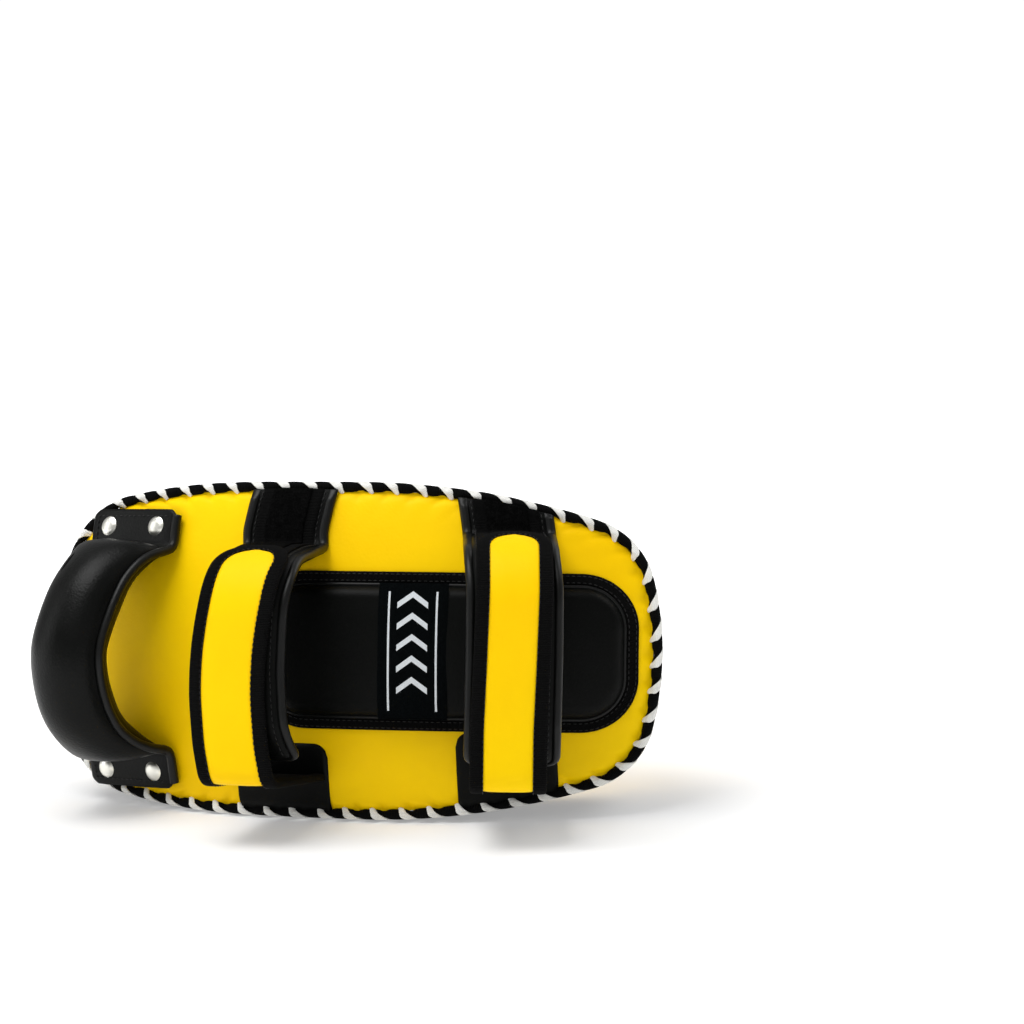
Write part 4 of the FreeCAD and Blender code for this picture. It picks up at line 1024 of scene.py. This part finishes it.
def edge_run(half_width, start, end, corner, inset, spacing=1.2 * MM):
    """U-shaped line down one long side, round the end at v = end, and back up."""
    half = half_width - inset
    stop = end - inset
    corner = max(corner - inset, 0.6 * MM)
    points, normals = [], []
    steps = int((stop - corner - start) / spacing)
    for step in range(steps):
        points.append((-half, start + (stop - corner - start) * step / steps))
        normals.append((-1.0, 0.0))
    for cu, begin in ((-half + corner, 180), (half - corner, 90)):
        turns = max(6, int(corner * math.pi / 2 / spacing))
        for step in range(turns + 1):
            angle = math.radians(begin - 90 * step / turns)
            points.append((cu + corner * math.cos(angle), stop - corner + corner * math.sin(angle)))
            normals.append((math.cos(angle), math.sin(angle)))
        if begin == 180:
            flat = max(2, int(2 * (half - corner) / spacing))
            for step in range(1, flat):
                points.append((-half + corner + 2 * (half - corner) * step / flat, stop))
                normals.append((0.0, 1.0))
    for step in range(1, steps + 1):
        points.append((half, stop - corner - (stop - corner - start) * step / steps))
        normals.append((1.0, 0.0))
    return np.array(points), np.array(normals)


def edge_band(name, ribbon, half_width, start, end, corner, profile, sink=False):
    """A closed profile of (in from the edge, out of the band) swept round a ribbon's edge."""
    line, normal = edge_run(half_width, start, end, corner, 0.0)
    rows = []
    for inset, out in profile:
        spot = line - normal * inset
        lift = np.full(len(line), out)
        if sink:
            lift = lift * (0.4 + 0.6 * smooth_step(spot[:, 1] / (8 * MM))) - 0.5 * MM * (
                1 - smooth_step(spot[:, 1] / (8 * MM)))
        rows.append(ribbon.at(spot[:, 0], spot[:, 1], lift))
    grid = np.array(rows).transpose(1, 0, 2)
    uv = uv_grid(path_length(line), np.array([inset for inset, _ in profile]))
    return outward(grid_object(name, grid, uv, wrap_columns=True, caps=True))


def oval(centre, half_in, half_out, count=12, squareness=1.0):
    """Closed profile: a rounded box or oval, as (in from the edge, out of the band)."""
    shape = []
    for k in range(count):
        angle = 2 * math.pi * k / count
        c, s = math.cos(angle), math.sin(angle)
        c = math.copysign(abs(c) ** squareness, c)
        s = math.copysign(abs(s) ** squareness, s)
        shape.append((centre[0] + half_in * c, centre[1] + half_out * s))
    return shape


def panel(name, ribbon, half_width, start, end, corner, thickness, crown, columns=16):
    """A sheet with thickness between two v, its far corners rounded, slightly crowned."""
    rows = max(12, int((end - start) / (1.6 * MM)))
    v = np.linspace(start, end, rows)
    past = np.clip(v - (end - corner), 0, corner)
    half = half_width - corner + np.sqrt(np.maximum(corner ** 2 - past ** 2, 0.0))
    share = np.linspace(-1, 1, columns)
    u = half[:, None] * share[None, :]
    v_grid = np.repeat(v[:, None], columns, 1)
    lift = crown * (1 - share ** 4)[None, :] * np.ones_like(u)
    outer = ribbon.at(u, v_grid, thickness[1] + lift)
    inner = ribbon.at(u, v_grid, np.full_like(u, thickness[0]))
    points = np.vstack([outer.reshape(-1, 3), inner.reshape(-1, 3)])
    flat = np.stack([v_grid, u], -1).reshape(-1, 2)
    faces = grid_faces(rows, columns) + grid_faces(rows, columns, first=rows * columns, flip=True)
    border = (list(range(columns))
              + [r * columns + columns - 1 for r in range(1, rows)]
              + [(rows - 1) * columns + c for c in range(columns - 2, -1, -1)]
              + [r * columns for r in range(rows - 2, 0, -1)])
    shift = rows * columns
    for k, first in enumerate(border):
        second = border[(k + 1) % len(border)]
        faces.append([first, first + shift, second + shift, second])
    return outward(mesh_object(name, points, faces, np.vstack([flat, flat])))


def padded_band(name, ribbon, half_width, stations, thickness, across=30):
    """A stuffed band: thickness is a function of v; its long edges thin towards the piping."""
    angles = np.arange(across) / across * 2 * math.pi
    c, s = np.cos(angles), np.sin(angles)
    wide = np.sign(c) * np.abs(c) ** 0.45
    deep = np.sign(s) * np.abs(s) ** 0.8
    rows = []
    for v in stations:
        half = thickness(v)
        rows.append(ribbon.at(half_width * wide, np.full(across, v), half * deep))
    grid = np.array(rows)
    uv = uv_grid(stations, half_width * wide)
    return outward(grid_object(name, grid, uv, wrap_columns=True, caps=True))


def local_to_row(angle, y, z):
    """A point of a loop's own y-z plane, in the row frame."""
    return tuple(SEAT @ (bend_matrix(angle) @ Vector((0.0, y, z))))


def cuff_rise(root_z):
    """Length of the cuff's straight start, and the height where its arch ends."""
    rising = math.radians(CUFF_RISING - 180)
    lead = CUFF_STANDOFF - CUFF_START - ARCH_RADIUS * (1 - math.sin(rising))
    lead /= math.cos(rising)
    return lead, root_z - lead * math.sin(rising) - ARCH_RADIUS * math.cos(rising)


def loop_cuff(side):
    """Cuff with its base band, piping, stitches and loop tape."""
    sizes = LOOPS[side]
    angle = sizes["angle"]
    crown = -CROWN_RISE
    root = (crown - CUFF_START, sizes["root"])
    lead, arch_z = cuff_rise(root[1])
    cuff_legs = [(lead, 0, 0), (0, ARCH_RADIUS, 270 - CUFF_RISING), (arch_z - CUFF_CURL_Z, 0, 0),
                 (0, CURL_RADIUS, CURL_TURN)]

    # cuff and base band: one stuffed band from the rim, over the cover and round the forearm
    base_top = 98.5 * MM
    base = dome_line(base_top, root[1] + 2 * MM, 1.6 * MM)
    cuff_line = leg_points(root, CUFF_RISING, cuff_legs)[4:]
    path = eased(np.vstack([base, cuff_line]), 6 * MM)
    base_run = base_top - root[1] - 2 * MM

    def start_of(u):
        """How far below the band's nominal start the welt's inner edge lies, at each u."""
        x = (BACK_AXIS + CROWN_RISE) * math.sin(angle) + u * math.cos(angle)
        top = RIM[:ROUND // 2]
        order = np.argsort(top[:, 0])
        return base_top - np.interp(x, top[order, 0], top[order, 1]) + 0.6 * MM

    def hug(v):
        return 1 - smooth_step((np.asarray(v) - base_run * 0.8) / (24 * MM))

    cuff = Ribbon(path, angle, sway=sizes["cuff_sway"], hug=hug, start_of=start_of)
    cuff_blend = ("pad", side + "_cuff", local_to_row(angle, crown - 0.5 * MM, root[1] + 9 * MM),
                  local_to_row(angle, crown - 10.5 * MM, root[1] - 2 * MM))

    def cuff_half(v):
        grown = smooth_step((v - base_run * 0.8) / (30 * MM))
        ending = smooth_step((cuff.length - v) / (9 * MM))
        tucked = smooth_step(v / (9 * MM))
        return (1.4 * MM + 3.7 * MM * grown) * (0.45 + 0.55 * ending) * (0.35 + 0.65 * tucked)

    stations = np.concatenate([np.arange(0, cuff.length - 8 * MM, 1.6 * MM),
                               cuff.length - 8 * MM + 8 * MM * np.sin(np.linspace(0, math.pi / 2, 8))])
    body = padded_band(side + "_cuff_leather", cuff, 24.0 * MM, stations, cuff_half)
    finished(body, CUFF_BLACK, cuff_blend,
             replaces=(side + "_cuff_cover", side + "_cuff_foam", side + "_base_band"))
    piping = edge_band(side + "_cuff_piping_bead", cuff, 28.2 * MM, 0.0, cuff.length + 1.5 * MM,
                       9 * MM, oval((3.0 * MM, 0.3 * MM), 3.0 * MM, 2.7 * MM), sink=True)
    finished(piping, PIPING, cuff_blend,
             replaces=(side + "_cuff_piping", side + "_base_piping"))
    for k, sign in enumerate((-1, 1)):
        u = sign * 20.6 * MM
        v = np.arange(1 * MM, cuff.length - 8 * MM, 1.5 * MM)
        lift = np.array([cuff_half(s) for s in v]) * 0.86 + 0.15 * MM
        line = cuff.at(np.full(len(v), u), v, lift)
        out = unit(cuff.at(np.full(len(v), u), v, lift + 2 * MM) - line)
        sew("%s_cuff_stitches_%d" % (side, k), line, out, (3.8, 2.9, 0.32),
            cuff_blend)

    # loop tape: from the rim down over the outside of the cuff, with flat tape beside it
    loop_end = cuff.length - 66 * MM

    surface = np.array([[cuff_half(s) + 0.1 * MM] for s in cuff.length_at])
    top = Ribbon(path + cuff.normal * surface, angle, sway=sizes["cuff_sway"], hug=hug,
                 start_of=start_of)
    flat_tape = panel(side + "_loop_backing", top, 19.6 * MM, 0.0, loop_end, 3 * MM,
                      (-0.6 * MM, 0.35 * MM), 0.1 * MM)
    finished(flat_tape, TAPE, cuff_blend)
    loops = panel(side + "_loop_pile", top, 12.6 * MM, 0.0, loop_end - 3 * MM, 3 * MM,
                  (0.2 * MM, 1.25 * MM), 0.35 * MM, columns=22)
    finished(loops, PILE, cuff_blend, replaces=(side + "_loop_tape",))


def loop_strap(side):
    """Strap: anchor web out of the patch, fold, up the outside of the cuff, over the arch."""
    sizes = LOOPS[side]
    angle = sizes["angle"]
    arch_z = cuff_rise(sizes["root"])[1]
    crown = -CROWN_RISE
    strap_y = crown - CUFF_STANDOFF - STRAP_OFFSET
    hinge_y = strap_y + STRAP_FOLD + 1.0 * MM
    web_start = float(back_point(0.0, STRAP_FOOT_Z, 1.0 * MM)[1])
    rise = arch_z - (STRAP_FOOT_Z + STRAP_FOLD)
    strap_legs = [(web_start - strap_y - STRAP_FOLD, 0, 0), (0, STRAP_FOLD, -90.0),
                  (rise, 0, 0), (0, ARCH_RADIUS + STRAP_OFFSET, -sizes["wrap"])]
    strap_path = leg_points((web_start, STRAP_FOOT_Z), 180.0, strap_legs)
    strap_path = eased(strap_path, 4 * MM)

    strap = Ribbon(strap_path, angle, sway=sizes["strap_sway"])
    strap.normal = -strap.normal
    strap_blend = ("pad", side + "_strap",
                   local_to_row(angle, hinge_y + 3 * MM, STRAP_FOOT_Z - 2 * MM),
                   local_to_row(angle, hinge_y - 8 * MM, STRAP_FOOT_Z + 7 * MM))
    fold_v = web_start - strap_y - STRAP_FOLD
    half_strap = sizes["half_strap"]
    corner = 21.6 * MM
    binding = edge_band(side + "_strap_binding_tape", strap, half_strap, 0.0, strap.length, corner,
                        oval((4.1 * MM, 0.0), 4.2 * MM, 2.4 * MM, 16, 0.62))
    finished(binding, TAPE, strap_blend, replaces=(side + "_strap_binding",))
    webbing = panel(side + "_strap_webbing_tape", strap, half_strap - 5 * MM, 0.0,
                    strap.length - 5 * MM, corner - 5 * MM, (-1.4 * MM, -0.2 * MM), 0.0)
    finished(webbing, TAPE, strap_blend,
             replaces=(side + "_strap_webbing", side + "_anchor_web"))
    face = panel(side + "_strap_face_leather", strap, half_strap - 7.8 * MM, fold_v + 4 * MM,
                 strap.length - 8.2 * MM, corner - 8.2 * MM, (-0.1 * MM, 1.5 * MM), 0.6 * MM,
                 columns=24)
    finished(face, YELLOW, strap_blend, replaces=(side + "_strap_face",))
    hooks = panel(side + "_hook_patch_hooks", strap, half_strap - 8.5 * MM,
                  strap.length - 44 * MM, strap.length - 8.5 * MM, corner - 8.5 * MM,
                  (-2.3 * MM, -1.3 * MM), 0.0)
    finished(hooks, HOOKS, side + "_strap", replaces=(side + "_hook_patch",))
    line, _ = edge_run(half_strap, 4 * MM, strap.length, corner, 7.6 * MM)
    stitches = strap.at(line[:, 0], line[:, 1], np.full(len(line), 2.2 * MM))
    out = unit(strap.at(line[:, 0], line[:, 1], np.full(len(line), 4.2 * MM)) - stitches)
    sew(side + "_strap_stitches", stitches, out, (3.2, 2.4, 0.28), strap_blend)


def loop_patch(side):
    """Patch under the strap's foot, lying close on the cover down to the rim."""
    sizes = LOOPS[side]
    angle = sizes["angle"]
    half_patch = 30.5 * MM
    shift = -1.5 * MM
    top_z = sizes["patch_top"]
    centre_x = (BACK_AXIS + CROWN_RISE) * math.sin(angle)
    turn_cos = math.cos(angle)
    left = centre_x + (shift - half_patch) * turn_cos
    right = centre_x + (shift + half_patch) * turn_cos
    columns, rows = 44, 30
    share = np.linspace(0, 1, columns)
    low_edge = np.interp(left + (right - left) * share, RIM[ROUND // 2:, 0], RIM[ROUND // 2:, 1])
    corner = 9 * MM
    side_gap = np.minimum(share, 1 - share) * (right - left)
    corner_drop = corner - np.sqrt(np.maximum(corner ** 2 - np.maximum(corner - side_gap, 0) ** 2, 0))
    high_edge = top_z - corner_drop
    down = np.linspace(0, 1, rows)
    z = high_edge[None, :] + (low_edge - high_edge)[None, :] * down[:, None]
    x = np.repeat((left + (right - left) * share)[None, :], rows, 0)
    edge_in = np.minimum(np.minimum(side_gap[None, :], (high_edge[None, :] - z)), 3 * MM)
    rise_grid = 0.1 * MM + 2.0 * MM * smooth_step(edge_in / (1.6 * MM))
    rim_gap = z - low_edge[None, :]
    rise_grid = rise_grid - 2.4 * MM * np.exp(-(rim_gap / (3.4 * MM)) ** 2)
    grid = back_point(x, z, rise_grid)
    item = grid_object(side + "_anchor_patch_leather", seated(grid), grid[..., [0, 2]], flip=True)
    finished(item, CUFF_BLACK, replaces=(side + "_anchor_patch",))


# --------------------------------------------------------------------------------- grip
def handle():
    """Fat padded grip whose leather runs out into a flat riveted plate at each end."""
    crown = -CROWN_RISE
    plate_rise = 3.2 * MM
    top_plate = dome_line(84 * MM, 60 * MM, plate_rise)
    low_plate = dome_line(-63 * MM, -87 * MM, plate_rise)
    turns = np.radians(np.linspace(4, 176, 60))
    reach_out, half_tall = 49.5 * MM, 61.0 * MM
    upper_pull = 1 - 0.1 * np.maximum(np.sin(2 * turns), 0.0)
    arc = np.stack([crown - 3 * MM - reach_out * np.sin(turns) ** 1.04 * upper_pull,
                    -2.2 * MM + half_tall * np.cos(turns)], -1)
    path = eased(np.vstack([top_plate, arc, low_plate]), 9 * MM)
    ribbon = Ribbon(path, GRIP_ANGLE, sway=((-65, 0), (0, 0), (25, 2.2), (48, 3.6), (70, 0)))
    length = ribbon.length
    v = np.linspace(0, length, 190)
    from_end = np.minimum(v, length - v)
    plate_v = 22 * MM
    grow = smooth_step((from_end - plate_v * 0.8) / (68 * MM))
    early = smooth_step((from_end - plate_v * 0.95) / (36 * MM))
    half_wide = 34 * MM + (24.5 - 34) * MM * smooth_step((from_end - 18 * MM) / (50 * MM))
    half_deep = 1.9 * MM + 18.4 * MM * np.sin(early * math.pi / 2) * (0.45 + 0.55 * grow)
    return ribbon, v, half_wide, half_deep


def build_handle():
    ribbon, v, half_wide, half_deep = handle()
    around = 40
    angles = np.arange(around) / around * 2 * math.pi
    c, s = np.cos(angles), np.sin(angles)
    rows = []
    flat = np.clip(half_deep / (16 * MM), 0, 1)
    for k, spot in enumerate(v):
        power = 0.35 + 0.6 * flat[k]
        wide = np.sign(c) * np.abs(c) ** power
        deep = np.sign(s) * np.abs(s) ** (0.5 + 0.45 * flat[k])
        ease = min(1.0, min(spot, ribbon.length - spot) / (5 * MM))
        corner = 1 - 0.12 * (1 - ease) ** 2
        rows.append(ribbon.at(half_wide[k] * wide * corner, np.full(around, spot),
                              half_deep[k] * deep))
    grid = np.array(rows)
    item = outward(grid_object("handle_leather", grid, uv_grid(v, angles * 0.02),
                               wrap_columns=True, caps=True))
    finished(item, BLACK,
             replaces=("handle_cover", "handle_core", "handle_end_plates"))
    # piping down the inner edge, flaring out with the leather
    keep = (v > 3 * MM) & (v < ribbon.length - 3 * MM)
    line = ribbon.at(half_wide[keep] + 0.6 * MM, v[keep], np.zeros(keep.sum()))
    out = unit(ribbon.at(half_wide[keep] + 5 * MM, v[keep], np.zeros(keep.sum())) - line)
    up = unit(np.cross(directions(line), out))
    grid, uv = tube(line, out, up, 2.9 * MM, 2.9 * MM, around=12)
    item = outward(grid_object("handle_piping_bead", grid, uv, wrap_columns=True, caps=True))
    finished(item, PIPING, replaces=("handle_piping",))
    # one row of stitches round the outer end and the far side of each plate
    for tag, near, far in (("upper", 4.5 * MM, 34 * MM),
                           ("lower", ribbon.length - 4.5 * MM, ribbon.length - 34 * MM)):
        across = np.linspace(29, -29, 30) * MM
        along = np.linspace(near, far, 16)[1:]
        edge = -np.interp(along, v, half_wide) + 5 * MM
        u = np.concatenate([across, edge])
        run = np.concatenate([np.full(len(across), near), along])
        lift = np.interp(run, v, half_deep) + 0.15 * MM
        line = ribbon.at(u, run, lift)
        out = unit(ribbon.at(u, run, lift + 2 * MM) - line)
        sew("handle_stitches_" + tag, line, out, (3.6, 2.7, 0.32))


def rivets():
    """Domed caps with a rolled rim."""
    profile = ((0.0, 2.5), (1.6, 2.45), (3.2, 2.2), (4.5, 1.75), (5.4, 1.15), (5.9, 0.6),
               (6.2, 0.45), (6.4, 0.2), (6.4, -0.3), (6.0, -0.8))
    around = 40
    heads = []
    for z in (73.5 * MM, -76.6 * MM):
        for side in (-20.0 * MM, 20.0 * MM):
            turn = GRIP_ANGLE + side / BACK_BEND
            spoke = BACK_AXIS - float(back_point(0.0, z, 0.0)[1])
            x = spoke * math.sin(turn)
            foot = back_point(x, z, 5.0 * MM)
            up = unit(back_point(x, z, 9.0 * MM) - foot)
            first = unit(np.cross(up, np.array([0.0, 0.0, 1.0])))
            second = np.cross(up, first)
            rows = []
            for radius, height in profile:
                angles = np.arange(around) / around * 2 * math.pi
                rows.append(foot + up * height * MM
                            + first * (radius * MM * np.cos(angles))[:, None]
                            + second * (radius * MM * np.sin(angles))[:, None])
            heads.append(grid_object("head", seated(np.array(rows)), None, wrap_columns=True))
    item = joined("handle_rivet_heads", heads)
    return finished(outward(item), NICKEL, replaces=("handle_rivets",))


back_cover()
gussets()
face_panel()
welt()
lacing()
cushion_cover()
cushion_border()
label()
for loop in LOOPS:
    loop_cuff(loop)
    loop_strap(loop)
    loop_patch(loop)
build_handle()
rivets()

# CAD pieces that stay: the inner ones, each with its own finish
for node_name, material in (("core_foam", FOAM), ("handle_webbing", TAPE),
                            ("rivet_washers", NICKEL)):
    mesh = frame["nodes"][node_name].data
    mesh.materials.clear()
    mesh.materials.append(material)

# --------------------------------------------------------------------------------- stage
def stage():
    finish = Finish("studio_floor", Roughness=0.9, Specular_IOR_Level=0.1)
    grain = finish.noise(3.0, 2.0)
    finish.link(finish.mix_colour(grain.outputs["Fac"], linear(222, 222, 222),
                                  linear(228, 228, 228)), "Base Color")
    finish.shader.inputs["Emission Color"].default_value = (1, 1, 1, 1)
    away = finish.node("ShaderNodeVectorMath", {0: finish.place}, operation="LENGTH")
    finish.link(finish.remap(away.outputs["Value"], 0.22, 1.1, 0.3, 1.0), "Emission Strength")
    floor = mesh_object("studio_floor", [(-9, -9, 0), (9, -9, 0), (9, 9, 0), (-9, 9, 0)],
                        [[0, 1, 2, 3]])
    floor.data.materials.append(finish.material)
    glow = bpy.data.materials.new("studio_backdrop")
    glow.use_nodes = True
    glow.node_tree.nodes.clear()
    emission = glow.node_tree.nodes.new("ShaderNodeEmission")
    emission.inputs["Strength"].default_value = 1.05
    output = glow.node_tree.nodes.new("ShaderNodeOutputMaterial")
    glow.node_tree.links.new(emission.outputs[0], output.inputs["Surface"])
    around, rows = 48, 14
    grid = np.empty((rows, around, 3))
    for row in range(rows):
        tilt = math.pi / 2 * row / (rows - 1) * 0.999
        angles = np.arange(around) / around * 2 * math.pi
        grid[row] = np.stack([8 * math.cos(tilt) * np.cos(angles),
                              8 * math.cos(tilt) * np.sin(angles),
                              np.full(around, 8 * math.sin(tilt))], -1)
    dome = grid_object("studio_backdrop", grid, None, wrap_columns=True)
    dome.data.materials.append(glow)
    dome.visible_diffuse = False
    dome.visible_glossy = False
    dome.visible_shadow = False
    dome.visible_transmission = False


def area_light(name, place, target, size, power):
    data = bpy.data.lights.new(name, "AREA")
    data.shape = "RECTANGLE"
    data.size, data.size_y = size
    data.energy = power
    item = bpy.data.objects.new(name, data)
    item.location = place
    item.rotation_euler = (Vector(target) - Vector(place)).to_track_quat("-Z", "Y").to_euler()
    bpy.context.scene.collection.objects.link(item)
    return item


def lights():
    world = bpy.data.worlds.new("studio")
    world.use_nodes = True
    background = world.node_tree.nodes["Background"]
    background.inputs["Color"].default_value = (1, 1, 1, 1)
    background.inputs["Strength"].default_value = 0.4
    bpy.context.scene.world = world
    area_light("key", (-0.4, -0.5, 1.7), (0, 0, 0.1), (1.3, 1.0), 25)
    area_light("side", (-1.7, -0.6, 0.6), (-0.1, 0, 0.1), (0.5, 1.3), 4.5)
    area_light("rim", (0.9, 0.9, 1.3), (0, 0, 0.12), (1.2, 0.8), 7)


def camera():
    """Just off square to the back, a little above it, the pad in the frame's left half."""
    azimuth, elevation, roll = math.radians(15.61), math.radians(7.36), math.radians(1.63)
    distance, focal_pixels = 1.8, 2927.4
    slide_right, slide_up = 105.73 * MM, 78.37 * MM
    middle = Vector((0, 20 * MM, 0)) + SEAT.to_translation()
    right = Vector((math.cos(azimuth), math.sin(azimuth), 0))
    back = Vector((math.sin(azimuth) * math.cos(elevation),
                   -math.cos(azimuth) * math.cos(elevation), math.sin(elevation)))
    up = back.cross(right)
    place = middle + back * distance + right * slide_right + up * slide_up
    tilted_right = right * math.cos(roll) - up * math.sin(roll)
    tilted_up = up * math.cos(roll) + right * math.sin(roll)
    data = bpy.data.cameras.new("camera")
    data.sensor_width = 36.0
    data.lens = focal_pixels * 36.0 / 1024
    data.clip_start, data.clip_end = 0.05, 60.0
    item = bpy.data.objects.new("camera", data)
    turn = Matrix((tilted_right, tilted_up, back)).transposed()
    item.matrix_world = Matrix.Translation(place) @ turn.to_4x4()
    bpy.context.scene.collection.objects.link(item)
    bpy.context.scene.camera = item


stage()
lights()
camera()
bpy.context.scene.view_settings.view_transform = "Standard"
